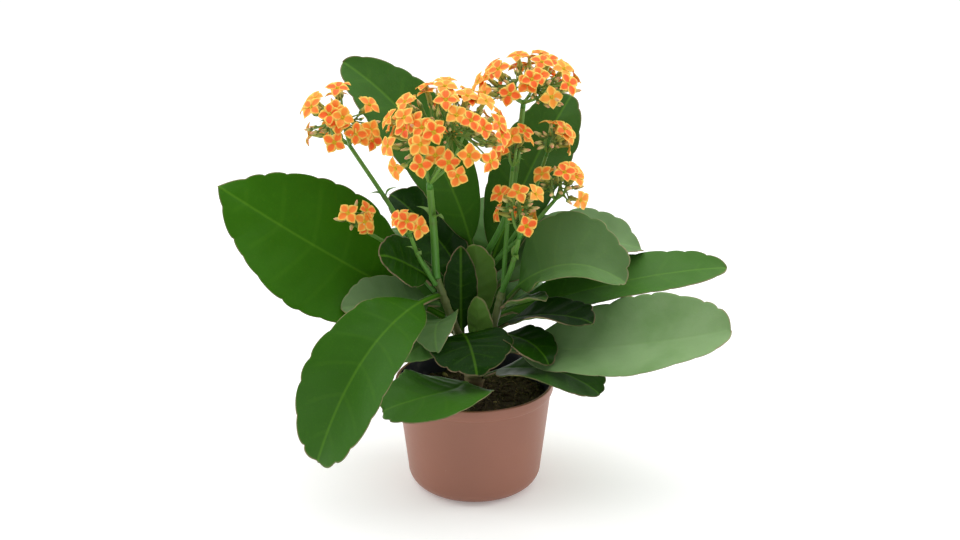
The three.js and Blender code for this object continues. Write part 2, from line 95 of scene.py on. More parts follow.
# stem, at: the stem it grows on, and how far up it, 0 to 1
# toward: the way it points, in degrees, 0 to the right and -90 to the front
# spread, rise: from the leaf's foot to its tip, outwards and upwards
# arch, swing: how far the middle lifts above the straight line, and bends to its left
# width, roll, cup: the blade's width, its turn about its own length, and its fold along the midrib
# point: from 0, a round tip, to 1, a pointed one
# tone: from 0, a dark leaf, to 1, a bright one; the low tones are painted shade for leaves that lie under
# others
# bloom: how much grey sheen, a painted reflection, is laid on it, from 0 to 1, most towards the tip
LEAF_COLUMNS = (
    "name", "stem", "at", "toward", "spread", "rise", "arch", "swing", "width", "roll", "cup", "point",
    "tone", "bloom",
)
LEAVES = [
    ["left_large", "left_shoot", 0.62, 186, 139, 92, -2, 0, 84, -56, 6, 0.9, 0.8, 0],
    ["left_hanging", "left_shoot", 0.85, 226, 104, -80, 40, 20, 54, -26, 22, 0.1, 0.6, 0.05],
    ["left_inner", "left_shoot", 0.98, 214, 38, 26, 4, 0, 34, -46, 8, 0.2, 0.15, 0],
    ["left_folded", "left_shoot", 0.76, 202, 66, 6, 2, 0, 34, -44, 20, 0.4, 0.3, 0.7],
    ["front_low", "main_stem", 0.85, 230, 80, 8, 10, 18, 64, 0, 6, 0, 0.75, 0.1],
    ["front_right_dark", "left_shoot", 0.4, 284, 46, -8, 10, 0, 52, 4, 8, 0.2, 0, 0],
    ["front_left_small", "left_shoot", 0.56, 258, 38, -5, 10, -4, 30, 16, 18, 0.5, 0.4, 0.5],
    ["front_left_sliver", "left_shoot", 0.3, 228, 50, 4, 9, 0, 34, -10, 10, 0.4, 0.8, 0.3],
    ["centre_upright", "left_shoot", 0.3, 90, 2, 64, 2, 0, 20, 0, 10, 0.4, 0.05, 0],
    ["centre_narrow", "right_shoot", 0.2, 250, 9, 46, 0, 0, 16, 0, 10, 0.6, 0.4, 0],
    ["centre_dark", "back_shoot", 0.3, 270, 2, 62, 0, 0, 26, 0, 10, 0.3, 0, 0],
    ["centre_right_dark", "right_shoot", 0.45, 318, 46, -6, 10, 0, 34, 0, 10, 0.2, 0.1, 0],
    ["centre_back", "back_shoot", 0.56, 166, 56, 70, 8, 0, 52, -20, 10, 0.3, 0.05, 0],
    ["right_upper", "right_shoot", 0.92, 350, 76, 16, 18, 0, 66, 26, 32, 0.5, 0.55, 0.5],
    ["right_small_glossy", "right_shoot", 0.84, 312, 40, 16, 3, 0, 18, 0, 12, 0.4, 0.3, 0.3],
    ["right_dark", "right_shoot", 0.58, 338, 64, 12, 8, 0, 44, 0, 12, 0.2, 0, 0],
    ["right_large", "right_shoot", 0.3, 340, 156, 35, -5, 0, 66, 30, 18, 0, 1, 1],
    ["right_far", "back_shoot", 0.4, 359, 160, 38, 6, 0, 48, 16, 12, 0.2, 0.8, 0.2],
    ["right_behind", "back_shoot", 0.6, 12, 108, 26, 20, 0, 58, 14, 20, 0.2, 0.4, 0.7],
    ["right_low", "main_stem", 0.93, 330, 84, 6, 12, 0, 58, 0, 10, 0.2, 0.25, 0.1],
    ["left_top", "back_shoot", 0.8, 152, 100, 132, 22, 0, 48, -40, 12, 0.2, 0.55, 0.1],
    ["right_top", "back_shoot", 0.78, 40, 74, 112, 6, 0, 48, 30, 14, 0.2, 0.4, 0.1],
    ["back_left_low", "back_shoot", 0.14, 154, 106, 16, 20, 0, 64, 0, 12, 0.2, 0.5, 0.2],
    ["back_low", "back_shoot", 0.24, 98, 100, 6, 24, 0, 64, 0, 12, 0.2, 0.6, 0.3],
    ["back_right_low", "back_shoot", 0.14, 52, 104, 6, 22, 0, 62, 0, 12, 0.2, 0.4, 0.2],
    ["back_left_upper", "back_shoot", 0.42, 132, 86, 40, 20, 0, 54, 0, 14, 0.2, 0.6, 0.2],
    ["back_right_upper", "back_shoot", 0.6, 66, 80, 40, 20, 0, 54, 0, 14, 0.2, 0.5, 0.3],
]

STALK_TAPER = 0.8
NECK_LENGTH = 5
NECK_SHARE = 0.6
ARM_COUNT = 5
ARM_REACH = 0.38
ARM_LEAN = 60
ARM_RADIUS = 1.1
PEDICEL_RADIUS = 0.6
FLOWER_LENGTH = 9.5
BUD_LENGTH = 7.5
BUD_RADIUS = 1.5
RING_STAGGER = 5
# One in this many of the smaller buds that fill a head is an open flower, set deeper than the rings.
OPEN_EVERY = 4

# A stalk rises from its stem's top, or from the stem's side where "toward" is given, through its points.
# Its head is a dome of flowers round a heart, with its reach outwards and upwards. The flowers stand in
# rings: how far a ring leans from upright, its flowers, and the bearings that its arc runs between, in
# degrees. Each bud is given by its bearing round the dome and its lean.
# "young" is how many smaller buds and later flowers fill the dome under the rings.
BLOOMS = [
    {
        "name": "centre", "stem": "left_shoot", "at": 1, "radius": 2.6, "young": 96,
        "points": [[-25, -20, 118], [-27, -29, 152]],
        "heart": [-17, -33, 183], "reach": [37, 36],
        "rings": [
            [15, 2, 0, 360], [38, 5, 20, 380], [62, 9, 0, 360], [84, 8, -180, 180], [104, 4, -165, -25],
        ],
        "buds": [[-20, 88], [-20, 108], [-130, 95], [-128, 62], [-25, 68], [20, 98], [110, 95], [160, 100]],
    },
    {
        "name": "left", "stem": "left_shoot", "at": 0.97, "toward": 140, "radius": 1.7, "young": 34,
        "points": [[-50, -3, 127], [-77, 4, 168]],
        "heart": [-84, 3, 181], "reach": [26, 29],
        "rings": [[20, 2, 0, 360], [58, 6, 10, 370], [88, 2, -120, -10]],
        "buds": [[-100, 95], [-70, 85], [-130, 85], [0, 80], [120, 80]],
    },
    {
        "name": "top_right", "stem": "back_shoot", "at": 1, "radius": 2.1, "young": 56,
        "points": [[20, 12, 120], [26, 8, 150], [30.5, 6, 194]],
        "heart": [35, 9, 203], "reach": [34, 24],
        "rings": [[18, 3, 0, 360], [48, 6, 0, 360], [70, 5, -150, 210]],
        "buds": [[-60, 85], [-140, 72], [-65, 55], [-20, 80], [160, 85]],
    },
    {
        "name": "right_front", "stem": "right_shoot", "at": 1, "radius": 1.9, "young": 20,
        "points": [[24, -18, 98], [28, -24, 118]],
        "heart": [27, -24, 134], "reach": [14, 24],
        "rings": [[50, 3, -200, 20]],
        "buds": [[0, 80], [180, 80], [90, 80], [-30, 60], [210, 60]],
    },
    {
        "name": "right", "stem": "back_shoot", "at": 0.92, "toward": -10, "radius": 1.5, "young": 18,
        "points": [[34, 8, 112], [50, 0, 134]],
        "heart": [53, -1, 142], "reach": [17, 18],
        "rings": [[40, 3, -190, 50]],
        "buds": [[0, 80], [-60, 70], [-60, 105], [-110, 85], [60, 80]],
    },
    {
        "name": "right_upper", "stem": "back_shoot", "at": 0.86, "toward": 20, "radius": 1.5, "young": 18,
        "points": [[32, 20, 116], [46, 16, 160]],
        "heart": [49, 13, 170], "reach": [13, 14],
        "rings": [[40, 2, -90, 150]],
        "buds": [[180, 60], [-90, 90], [-150, 85], [0, 95]],
    },
    {
        "name": "front_upper", "stem": "right_shoot", "at": 0.97, "toward": 80, "radius": 1.5, "young": 12,
        "points": [[21, -2, 118], [24, -4, 156]],
        "heart": [25, -6, 168], "reach": [11, 18],
        "rings": [[40, 2, -150, 30]],
        "buds": [[-20, 80], [180, 75], [90, 70]],
    },
    {
        "name": "left_front", "stem": "left_shoot", "at": 0.97, "toward": 250, "radius": 1.5, "young": 10,
        "points": [[-34, -28, 106], [-39, -37, 124]],
        "heart": [-39, -40, 130], "reach": [10, 12],
        "rings": [[50, 1, -180, -20]],
        "buds": [[0, 50], [-30, 85], [90, 60]],
    },
    {
        "name": "far_left", "stem": "left_shoot", "at": 0.88, "toward": 184, "radius": 1.4, "young": 12,
        "points": [[-48, -15, 106], [-70, -18, 122]],
        "heart": [-76, -19, 128], "reach": [12, 14],
        "rings": [[50, 1, -180, -20]],
        "buds": [[180, 85], [-90, 100], [0, 70], [60, 30], [-45, 90]],
    },
]

# ---- Shapes ---------------------------------------------------------------------------------


def unit(vectors):
    """Vectors scaled to a length of one, along the last axis."""
    return vectors / np.linalg.norm(vectors, axis=-1, keepdims=True)


def ease(values, low, high):
    """A smooth step from 0 at the low value to 1 at the high one."""
    share = np.clip((np.asarray(values, float) - low) / (high - low), 0, 1)
    return share * share * (3 - 2 * share)


def bump_at(values, middle, spread):
    """A smooth hump of height 1 round a middle value."""
    return np.exp(-(((values - middle) / spread) ** 2))


def bearing(degrees):
    """The level direction at a bearing, 0 to the right and -90 to the front."""
    turn = math.radians(degrees)
    return np.array([math.cos(turn), math.sin(turn), 0.0])


def leaning(place, reach):
    """A place on a dome, or a direction out of it where the dome is a unit sphere."""
    lean = math.radians(place[1])
    return bearing(place[0]) * reach[0] * math.sin(lean) + UP * reach[1] * math.cos(lean)


ROUTE_STEPS = 40


class Route:
    """A smooth curve through a few points, measured along its length."""

    def __init__(self, points):
        points = np.array(points, float)
        ends = 2 * points[[0, -1]] - points[[1, -2]]
        knots = np.vstack([ends[:1], points, ends[1:]])
        t = np.linspace(0, 1, ROUTE_STEPS)[:, None]
        spans = []
        for p0, p1, p2, p3 in zip(knots, knots[1:], knots[2:], knots[3:]):
            d0, d1, d2 = (math.sqrt(np.linalg.norm(b - a)) for a, b in ((p0, p1), (p1, p2), (p2, p3)))
            leave = ((p1 - p0) / d0 - (p2 - p0) / (d0 + d1) + (p2 - p1) / d1) * d1
            arrive = ((p2 - p1) / d1 - (p3 - p1) / (d1 + d2) + (p3 - p2) / d2) * d1
            square = 3 * (p2 - p1) - 2 * leave - arrive
            cube = 2 * (p1 - p2) + leave + arrive
            spans.append(p1 + leave * t + square * t**2 + cube * t**3)
        self.points = np.vstack([spans[0][:1]] + [span[1:] for span in spans])
        gaps = np.linalg.norm(np.diff(self.points, axis=0), axis=1)
        self.lengths = np.concatenate([[0], np.cumsum(gaps)])

    def at(self, share):
        """The point, or points, at a share of the length."""
        measured = np.asarray(share, float) * self.lengths[-1]
        return np.stack([np.interp(measured, self.lengths, self.points[:, k]) for k in range(3)], axis=-1)

    def along(self, share):
        """The curve's direction at a share of its length."""
        near = 0.004
        return unit(self.at(min(1, share + near)) - self.at(max(0, share - near)))


class Shape:
    """The points, faces, finishes and painted values of one piece while it is being made."""

    def __init__(self):
        self.points, self.faces, self.finishes, self.places, self.tones = [], [], [], [], []
        self.count = 0

    def add(self, points, faces, finish=0, place=(0, 0, 0), tone=(0, 0, 0)):
        points = np.asarray(points, float).reshape(-1, 3)
        self.points.append(points)
        self.places.append(np.broadcast_to(np.asarray(place, float).reshape(-1, 3), points.shape))
        self.tones.append(np.broadcast_to(np.asarray(tone, float).reshape(-1, 3), points.shape))
        self.faces.append(np.asarray(faces) + self.count)
        self.finishes += [finish] * len(faces)
        self.count += len(points)

    def made(self, name, materials):
        """The shape as an object in metres, its faces turned outwards and its doubled points merged."""
        mesh = bpy.data.meshes.new(name)
        faces = [face for block in self.faces for face in block.tolist()]
        mesh.from_pydata((np.concatenate(self.points) * MM).tolist(), [], faces)
        for material in materials:
            mesh.materials.append(material)
        mesh.polygons.foreach_set("material_index", self.finishes)
        for label, values in (("place", self.places), ("tone", self.tones)):
            layer = mesh.attributes.new(label, "FLOAT_VECTOR", "POINT")
            layer.data.foreach_set("vector", np.concatenate(values).astype(np.float32).ravel())
        work = bmesh.new()
        work.from_mesh(mesh)
        bmesh.ops.remove_doubles(work, verts=work.verts, dist=1e-6)
        bmesh.ops.recalc_face_normals(work, faces=work.faces)
        work.to_mesh(mesh)
        work.free()
        mesh.polygons.foreach_set("use_smooth", [True] * len(mesh.polygons))
        mesh.update()
        made = bpy.data.objects.new(name, mesh)
        bpy.context.scene.collection.objects.link(made)
        return made


def placed(piece, node):
    """Settles a finished piece on the frame, in place of its CAD node."""
    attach(piece, "root")
    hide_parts(node)
    return piece


def grid(rows, columns, closed=True):
    """The quads of rows of points, joined round from the last column to the first where closed."""
    index = np.arange(rows * columns).reshape(rows, columns)
    following = np.roll(index, -1, axis=1)
    if not closed:
        index, following = index[:, :-1], following[:, :-1]
    return np.stack([index[:-1], index[1:], following[1:], following[:-1]], axis=-1).reshape(-1, 4)


def lattice(points):
    """The two directions square to a line of points, carried along it without twisting."""
    along = unit(np.gradient(points, axis=0))
    side = np.cross(along[0], UP if abs(along[0][2]) < 0.9 else np.array([1.0, 0, 0]))
    sides = []
    for direction in along:
        side = unit(side - direction * np.dot(side, direction))
        sides.append(side)
    sides = np.array(sides)
    return sides, np.cross(along, sides)


def tube(shape, points, radii, sides=12, finish=0, place=(0, 0, 0), tone=(0, 0, 0), lobes=0.0, lobe_count=4):
    """A closed tube along points, with a radius at each and, where lobed, a lobed section."""
    points = np.asarray(points, float)
    radii = np.broadcast_to(np.asarray(radii, float), len(points))
    left, front = lattice(points)
    angle = np.arange(sides) * 2 * math.pi / sides
    wave = 1 + lobes * np.cos(lobe_count * angle)
    ring = left[:, None] * np.cos(angle)[None, :, None] + front[:, None] * np.sin(angle)[None, :, None]
    wall = points[:, None] + ring * (radii[:, None] * wave[None, :])[..., None]
    place = np.asarray(place, float)
    if place.ndim == 2:
        ends = place[[0, -1]]
        place = np.concatenate([np.repeat(place, sides, axis=0), ends])
    shape.add(
        np.concatenate([wall.reshape(-1, 3), points[[0, -1]]]),
        grid(len(points), sides), finish, place, tone,
    )
    last = shape.count
    first = last - len(points) * sides - 2
    corners = np.arange(sides)
    round_on = (corners + 1) % sides
    foot = np.stack([np.full(sides, last - 2), first + round_on, first + corners], axis=-1)
    top_row = last - 2 - sides
    top = np.stack([np.full(sides, last - 1), top_row + corners, top_row + round_on], axis=-1)
    shape.faces += [foot, top]
    shape.finishes += [finish] * (2 * sides)


def capped(shape, points, place, tone=(0, 0, 0)):
    """Rows of points joined round into a closed body, with a face over its first and last rows."""
    rows, columns = points.shape[:2]
    start = shape.count
    shape.add(points, grid(rows, columns), 0, place.reshape(-1, 3), tone)
    for row in (0, rows - 1):
        shape.faces.append(np.array([start + row * columns + np.arange(columns)]))
        shape.finishes.append(0)


def turned(shape, outline, sides, finish=0, place=(0, 0, 0), tone=(0, 0, 0)):
    """An outline of [radius, height] points turned about the upright axis."""
    outline = np.asarray(outline, float)
    angle = np.arange(sides) * 2 * math.pi / sides
    level = np.stack([np.cos(angle), np.sin(angle)], axis=-1)
    rings = np.concatenate(
        [outline[:, None, :1] * level[None], np.broadcast_to(outline[:, None, 1:], (len(outline), sides, 1))],
        axis=-1,
    )
    shape.add(rings, grid(len(outline), sides), finish, place, tone)


# ---- Finishes -------------------------------------------------------------------------------


class Finish:
    """One material's nodes, made and joined a step at a time."""

    def __init__(self, name, roughness=0.5, specular=0.5):
        self.material = bpy.data.materials.new(name)
        self.material.use_nodes = True
        self.tree = self.material.node_tree
        self.skin = self.tree.nodes["Principled BSDF"]
        self.skin.inputs["Roughness"].default_value = roughness
        self.skin.inputs["Specular IOR Level"].default_value = specular
        self.where = self.node("TexCoord").outputs["Object"]

    def feed(self, socket, value):
        if isinstance(value, bpy.types.NodeSocket):
            self.tree.links.new(value, socket)
        elif hasattr(value, "__len__") and len(value) == 3 and socket.type == "RGBA":
            socket.default_value = (*value, 1)
        else:
            socket.default_value = value

    def node(self, kind, inputs=(), **settings):
        node = self.tree.nodes.new("ShaderNode" + kind)
        for key, value in settings.items():
            setattr(node, key, value)
        for socket, value in dict(inputs).items():
            self.feed(node.inputs[socket], value)
        return node

    def maths(self, operation, a, b=0.0, clamp=False):
        node = self.node("Math", {0: a, 1: b}, operation=operation, use_clamp=clamp)
        return node.outputs[0]

    def painted(self, label):
        """The three values painted on the piece under a label."""
        source = self.node("Attribute", attribute_name=label, attribute_type="GEOMETRY")
        split = self.node("SeparateXYZ", {0: source.outputs["Vector"]})
        return split.outputs[0], split.outputs[1], split.outputs[2]

    def step(self, value, low, high, start=0.0, end=1.0):
        """A smooth step from one value to another."""
        node = self.node(
            "MapRange",
            {"Value": value, "From Min": low, "From Max": high, "To Min": start, "To Max": end},
            interpolation_type="SMOOTHSTEP",
        )
        return node.outputs[0]

    def mix(self, share, a, b, blend="MIX"):
        node = self.node("Mix", {0: share, 6: a, 7: b}, data_type="RGBA", blend_type=blend)
        return node.outputs[2]

    def noise(self, scale, detail=2.0, stretch=None, roughness=0.5):
        where = self.where
        if stretch is not None:
            where = self.node("Mapping", {"Vector": where, "Scale": stretch}).outputs[0]
        inputs = {"Vector": where, "Scale": scale, "Detail": detail, "Roughness": roughness}
        return self.node("TexNoise", inputs).outputs["Fac"]

    def relief(self, height, depth_mm, under=None):
        """A bump of a height map, in millimetres, on top of another bump where one is given."""
        inputs = {"Height": height, "Distance": depth_mm * MM}
        if under is not None:
            inputs["Normal"] = under
        return self.node("Bump", inputs).outputs[0]

    def done(self, color, normal=None, roughness=None):
        self.feed(self.skin.inputs["Base Color"], color)
        if normal is not None:
            self.feed(self.skin.inputs["Normal"], normal)
        if roughness is not None:
            self.feed(self.skin.inputs["Roughness"], roughness)
        return self.material


def pot_outside_finish(settings):
    """Satin terracotta-coloured plastic with faint turning lines and a few scuffs."""
    finish = Finish("pot_outside", 0.42, 0.45)
    cloudy = finish.noise(28, 3)
    color = finish.mix(cloudy, settings.outside_color, [c * 1.16 for c in settings.outside_color])
    lines = finish.noise(60, 2, (0.6, 0.6, 22))
    grain = finish.noise(2600, 2)
    scuffs = finish.step(finish.noise(170, 5, (1, 1, 0.35), 0.7), 0.66, 0.8)
    color = finish.mix(finish.maths("MULTIPLY", scuffs, 0.35), color, (0.52, 0.33, 0.26))
    normal = finish.relief(grain, 0.02, finish.relief(lines, 0.12))
    rough = finish.maths("ADD", finish.maths("MULTIPLY", cloudy, 0.12), 0.37)
    return finish.done(color, normal, finish.maths("ADD", rough, finish.maths("MULTIPLY", scuffs, 0.2)))


def pot_inside_finish(settings):
    """The dark inner layer of the same plastic, dusty in patches."""
    finish = Finish("pot_inside", 0.35, 0.5)
    dust = finish.step(finish.noise(240, 4, None, 0.65), 0.5, 0.75)
    color = finish.mix(finish.maths("MULTIPLY", dust, 0.5), settings.inside_color, (0.06, 0.045, 0.035))
    return finish.done(color, finish.relief(finish.noise(1500, 2), 0.04), finish.step(dust, 0, 1, 0.3, 0.7))


def peat_finish(settings):
    """Damp dark peat with paler fibres and grit, by each crumb's own tone."""
    finish = Finish("peat", 0.9, 0.25)
    tone = finish.painted("tone")[0]
    mottle = finish.noise(420, 5, None, 0.7)
    color = finish.mix(mottle, settings.dark_color, settings.pale_color)
    fibres = finish.step(finish.noise(500, 3, (1, 3.5, 1)), 0.62, 0.72)
    color = finish.mix(finish.maths("MULTIPLY", fibres, 0.5), color, (0.2, 0.14, 0.06))
    color = finish.mix(tone, color, settings.grit_color)
    normal = finish.relief(finish.noise(1300, 6, None, 0.75), 0.7, finish.relief(mottle, 1.2))
    return finish.done(color, normal, finish.step(mottle, 0.3, 0.7, 0.7, 1.0))


def stem_finish():
    """Green skin that turns brown and corky towards the soil."""
    finish = Finish("stem_skin", 0.6, 0.35)
    age = finish.painted("place")[0]
    streaks = finish.noise(380, 4, (1, 1, 0.25))
    green = finish.mix(streaks, (0.07, 0.14, 0.03), (0.17, 0.23, 0.07))
    brown = finish.mix(streaks, (0.09, 0.06, 0.03), (0.26, 0.18, 0.09))
    color = finish.mix(finish.maths("ADD", age, finish.maths("MULTIPLY", streaks, 0.25), True), green, brown)
    return finish.done(color, finish.relief(streaks, 0.5), finish.step(age, 0, 1, 0.45, 0.8))


def leaf_finish(settings):
    """Waxy skin: mottled green, a paler midrib and underside, faint veins and a thin reddish rim."""
    finish = Finish("leaf_skin", 0.36, 0.08)
    across, along, rim = finish.painted("place")
    # The third tone value, bloom, is the share of grey sheen painted on the leaf.
    tone, upper, bloom = finish.painted("tone")
    away = finish.maths("ABSOLUTE", across)
    mottle = finish.noise(60, 4, None, 0.6)
    fine = finish.noise(900, 3)
    dark = finish.mix(mottle, settings.dark_color, [c * 1.5 for c in settings.dark_color])
    bright = finish.mix(mottle, settings.bright_color, [c * 1.25 for c in settings.bright_color])
    # Dark and bright greens mixed by each leaf's tone; the dark end is painted shade for leaves that lie
    # under others.
    color = finish.mix(tone, dark, bright)
    swing = finish.maths("SINE", finish.maths("MULTIPLY", along, 2 * math.pi * VEIN_COUNT))
    ribs = finish.maths("MULTIPLY", swing, 0.5)
    veins = finish.step(finish.maths("ADD", ribs, 0.5), 0.93, 1.0)
    veins = finish.maths("MULTIPLY", veins, finish.step(rim, 2, 9))
    color = finish.mix(finish.maths("MULTIPLY", veins, 0.08), color, settings.vein_color)
    midrib = finish.step(away, 0.2, 1.3, 1, 0)
    color = finish.mix(finish.maths("MULTIPLY", midrib, 0.4), color, settings.vein_color)
    # Painted sheen: a grey reflection laid into the colour, as strong as the leaf's bloom value and broken up
    # by noise.
    painted_sheen = finish.maths("MULTIPLY", bloom, finish.step(finish.noise(35, 3), 0.2, 0.6, 0.65, 1.0))
    color = finish.mix(finish.maths("MULTIPLY", painted_sheen, 0.85), color, settings.bloom_color)
    under = finish.mix(mottle, settings.under_color, [c * 1.2 for c in settings.under_color])
    color = finish.mix(upper, under, color)
    thin_line = finish.step(rim, 0.15, 0.8, 1, 0)
    edge = finish.maths("MULTIPLY", thin_line, finish.step(mottle, 0.35, 0.65, 0.15, 0.75))
    color = finish.mix(edge, color, settings.rim_color)
    flecks = finish.maths("MULTIPLY", finish.step(fine, 0.55, 0.75), 0.12)
    color = finish.mix(flecks, color, settings.vein_color)
    pores = finish.relief(fine, 0.05)
    quilt = finish.relief(finish.noise(140, 3), 0.35, pores)
    rough = finish.maths("ADD", finish.maths("MULTIPLY", mottle, 0.16), 0.3)
    rough = finish.maths("ADD", rough, finish.maths("MULTIPLY", bloom, 0.2))
    finish.skin.inputs["Subsurface Weight"].default_value = 0.06
    finish.skin.inputs["Subsurface Radius"].default_value = (0.3, 1.0, 0.1)
    finish.skin.inputs["Subsurface Scale"].default_value = 0.002
    return finish.done(color, quilt, rough)


def stalk_finish(settings):
    """Juicy green stalks, olive and maroon where place says so, as on calyces and forks."""
    finish = Finish("stalk_skin", 0.42, 0.35)
    brown, pale, _ = finish.painted("place")
    streaks = finish.noise(300, 3, (1, 1, 0.2))
    color = finish.mix(streaks, settings.stalk_color, [c * 1.6 for c in settings.stalk_color])
    color = finish.mix(pale, color, settings.pale_color)
    color = finish.mix(brown, color, settings.calyx_color)
    return finish.done(color, finish.relief(finish.noise(1500, 2), 0.05, finish.relief(streaks, 0.15)))


def petal_finish(settings):
    """Orange-red petals with yellow margins, a yellow throat and a yellow-green tube."""
    finish = Finish("petals", 0.5, 0.25)
    across, along, tube_share = finish.painted("place")
    tone = finish.painted("tone")[0]
    away = finish.maths("ABSOLUTE", across)
    heart = finish.mix(tone, settings.heart_color, settings.flesh_color)
    rough_rim = finish.maths("ADD", away, finish.maths("MULTIPLY", finish.noise(700, 3), 0.3))
    rim = finish.step(rough_rim, 0.55, 1.0)
    rough_tip = finish.maths("ADD", along, finish.maths("MULTIPLY", finish.noise(800, 2), 0.2))
    tip = finish.step(rough_tip, 0.8, 1.05)
    color = finish.mix(finish.maths("MAXIMUM", rim, tip), heart, settings.margin_color)
    streaks = finish.step(finish.maths("SINE", finish.maths("MULTIPLY", across, 18)), 0.3, 1)
    color = finish.mix(finish.maths("MULTIPLY", streaks, 0.14), color, settings.flesh_color)
    color = finish.mix(finish.step(along, 0.03, 0.14, 1, 0), color, settings.throat_color)
    green = finish.mix(finish.step(tube_share, 0.15, 0.95), color, settings.tube_color)
    finish.skin.inputs["Subsurface Weight"].default_value = 0.12
    finish.skin.inputs["Subsurface Radius"].default_value = (1.0, 0.45, 0.1)
    finish.skin.inputs["Subsurface Scale"].default_value = 0.001
    return finish.done(green, finish.relief(finish.noise(1800, 2), 0.06))


def bud_finish(settings):
    """Buds that go from green through cream to a rosy or orange tip."""
    finish = Finish("buds", 0.5, 0.3)
    along, flush, _ = finish.painted("place")
    color = finish.mix(finish.step(along, 0.1, 0.6), (0.28, 0.36, 0.06), (0.72, 0.62, 0.24))
    tip = finish.mix(flush, (0.78, 0.6, 0.26), settings.bud_tip_color)
    color = finish.mix(finish.step(along, 0.45, 0.95), color, tip)
    return finish.done(color, finish.relief(finish.noise(1500, 2), 0.05))


def floor_finish(settings):
    """Matt, pale studio floor that gives off a little light."""
    finish = Finish("floor", 0.9, 0.1)
    tint = finish.noise(3, 2)
    color = finish.mix(tint, settings.floor_color, [c * 0.99 for c in settings.floor_color])
    finish.feed(finish.skin.inputs["Emission Color"], (1, 1, 1))
    finish.feed(finish.skin.inputs["Emission Strength"], settings.floor_glow)
    return finish.done(color)


# ---- Sizes and colours that a user may change -----------------------------------------------


def length(name, description, default_mm, least_mm=0.0):
    return FloatProperty(
        name=name, description=description, default=default_mm * MM, min=least_mm * MM, unit="LENGTH",
        subtype="DISTANCE", precision=4,
    )


def paint(name, description, default):
    return FloatVectorProperty(
        name=name, description=description, default=default, min=0, max=1, size=3, subtype="COLOR",
    )


class PotSettings(bpy.types.PropertyGroup):
    """Sizes and colours of the nursery pot."""

    wall: length("Wall", "Thickness of the wall", 1.2, 0.5)
    base_radius: length("Base radius", "Where the wall would meet the underside", 43, 10)
    band_height: length("Rim band", "Height of the band under the rim", 8)
    band_step: length("Band step", "How far the band stands out from the wall", 0.9)
    heel_radius: length("Heel", "Rounding between the wall and the underside", 12, 2)
    drain_radius: length("Drain holes", "Radius of each drain hole", 3.5, 1)
    drain_circle: length("Drain circle", "Radius of the circle that the drain holes stand on", 20)
    outside_color: paint("Outside", "Colour of the outer layer", (0.275, 0.11, 0.07))
    inside_color: paint("Inside", "Colour of the inner layer", (0.012, 0.014, 0.02))


class SoilSettings(bpy.types.PropertyGroup):
    """Roughness and colours of the peat."""

    crumb: length("Crumbs", "Typical radius of a crumb on the surface", 1.3, 0.2)
    relief: length("Relief", "How uneven the surface is", 1.6)
    crumbs: IntProperty(
        name="Crumb count", description="How many loose crumbs lie on top", default=420, min=0,
    )
    dark_color: paint("Dark", "Colour of the wet peat", (0.018, 0.012, 0.006))
    pale_color: paint("Pale", "Colour of the dry peat", (0.1, 0.066, 0.032))
    grit_color: paint("Grit", "Colour of the palest bits", (0.42, 0.32, 0.13))


class LeafSettings(bpy.types.PropertyGroup):
    """Detail and colours of the leaves."""

    scallop: length("Scallop length", "Length of one scallop of a large leaf's margin", 16, 3)
    scallop_depth: length("Scallop depth", "Depth of the notches between scallops", 1.7)
    wave: length("Waviness", "How far the margin waves up and down", 1.3)
    # The darkest green is painted shade, for leaves that lie under others.
    dark_color: paint("Dark green", "Colour of the oldest leaves", (0.005, 0.028, 0.0007))
    bright_color: paint("Bright green", "Colour of the youngest leaves", (0.036, 0.145, 0.003))
    under_color: paint("Underside", "Colour of the undersides", (0.09, 0.19, 0.03))
    vein_color: paint("Veins", "Colour of the midrib and veins", (0.11, 0.28, 0.015))
    # The grey of the sheen painted on the leaves.
    bloom_color: paint("Bloom", "Colour of the waxy bloom", (0.25, 0.38, 0.18))
    rim_color: paint("Rim", "Colour of the thin line along the margin", (0.36, 0.24, 0.16))


class FlowerSettings(bpy.types.PropertyGroup):
    """Sizes and colours of the flowers, buds and stalks."""

    across: length("Flower", "Width of an open flower", 16, 6)
    petal_width: length("Petal width", "Width of one petal", 6.9, 2)
    heart_color: paint("Heart", "Deepest colour of the petals", (1.0, 0.12, 0.016))
    flesh_color: paint("Flesh", "Lightest colour of the petals", (1.0, 0.34, 0.04))
    margin_color: paint("Margin", "Colour of the petals' margins", (1.0, 0.66, 0.12))
    throat_color: paint("Throat", "Colour of the throat", (0.75, 0.5, 0.02))
    tube_color: paint("Tube", "Colour of the tubes", (0.42, 0.45, 0.09))
    bud_tip_color: paint("Bud tips", "Colour of the buds' tips", (0.8, 0.32, 0.2))
    stalk_color: paint("Stalks", "Colour of the stalks", (0.06, 0.19, 0.025))
    pale_color: paint("Young stalks", "Colour of the youngest stalks", (0.22, 0.36, 0.06))
    calyx_color: paint("Calyces", "Colour of the calyces' tips", (0.13, 0.05, 0.03))


class StageSettings(bpy.types.PropertyGroup):
    """Camera, light and floor."""

    camera_back: length("Camera distance", "How far in front of the pot's middle the camera stands", 913.5)
    camera_height: length("Camera height", "How high the camera stands", 480)
    camera_side: length("Camera offset", "How far to the right the camera stands", 3.7)
    camera_pitch: FloatProperty(
        name="Camera pitch", description="How far the camera looks down", default=math.radians(19.9),
        subtype="ANGLE",
    )
    lens: FloatProperty(name="Lens", description="Focal length in millimetres", default=56.44, min=10)
    ambient: FloatProperty(
        name="Ambient", description="Strength of the light from all round", default=0.4, min=0,
    )
    top_power: FloatProperty(
        name="Overhead", description="Power of the light overhead", default=80, min=0, subtype="POWER",
    )
    side_power: FloatProperty(
        name="Sides", description="Power of each side light", default=8, min=0, subtype="POWER",
    )
    floor_color: paint("Floor", "Colour of the floor", (0.9, 0.9, 0.9))
    floor_glow: FloatProperty(
        name="Floor glow", description="Light that the floor gives off", default=0.2, min=0,
    )


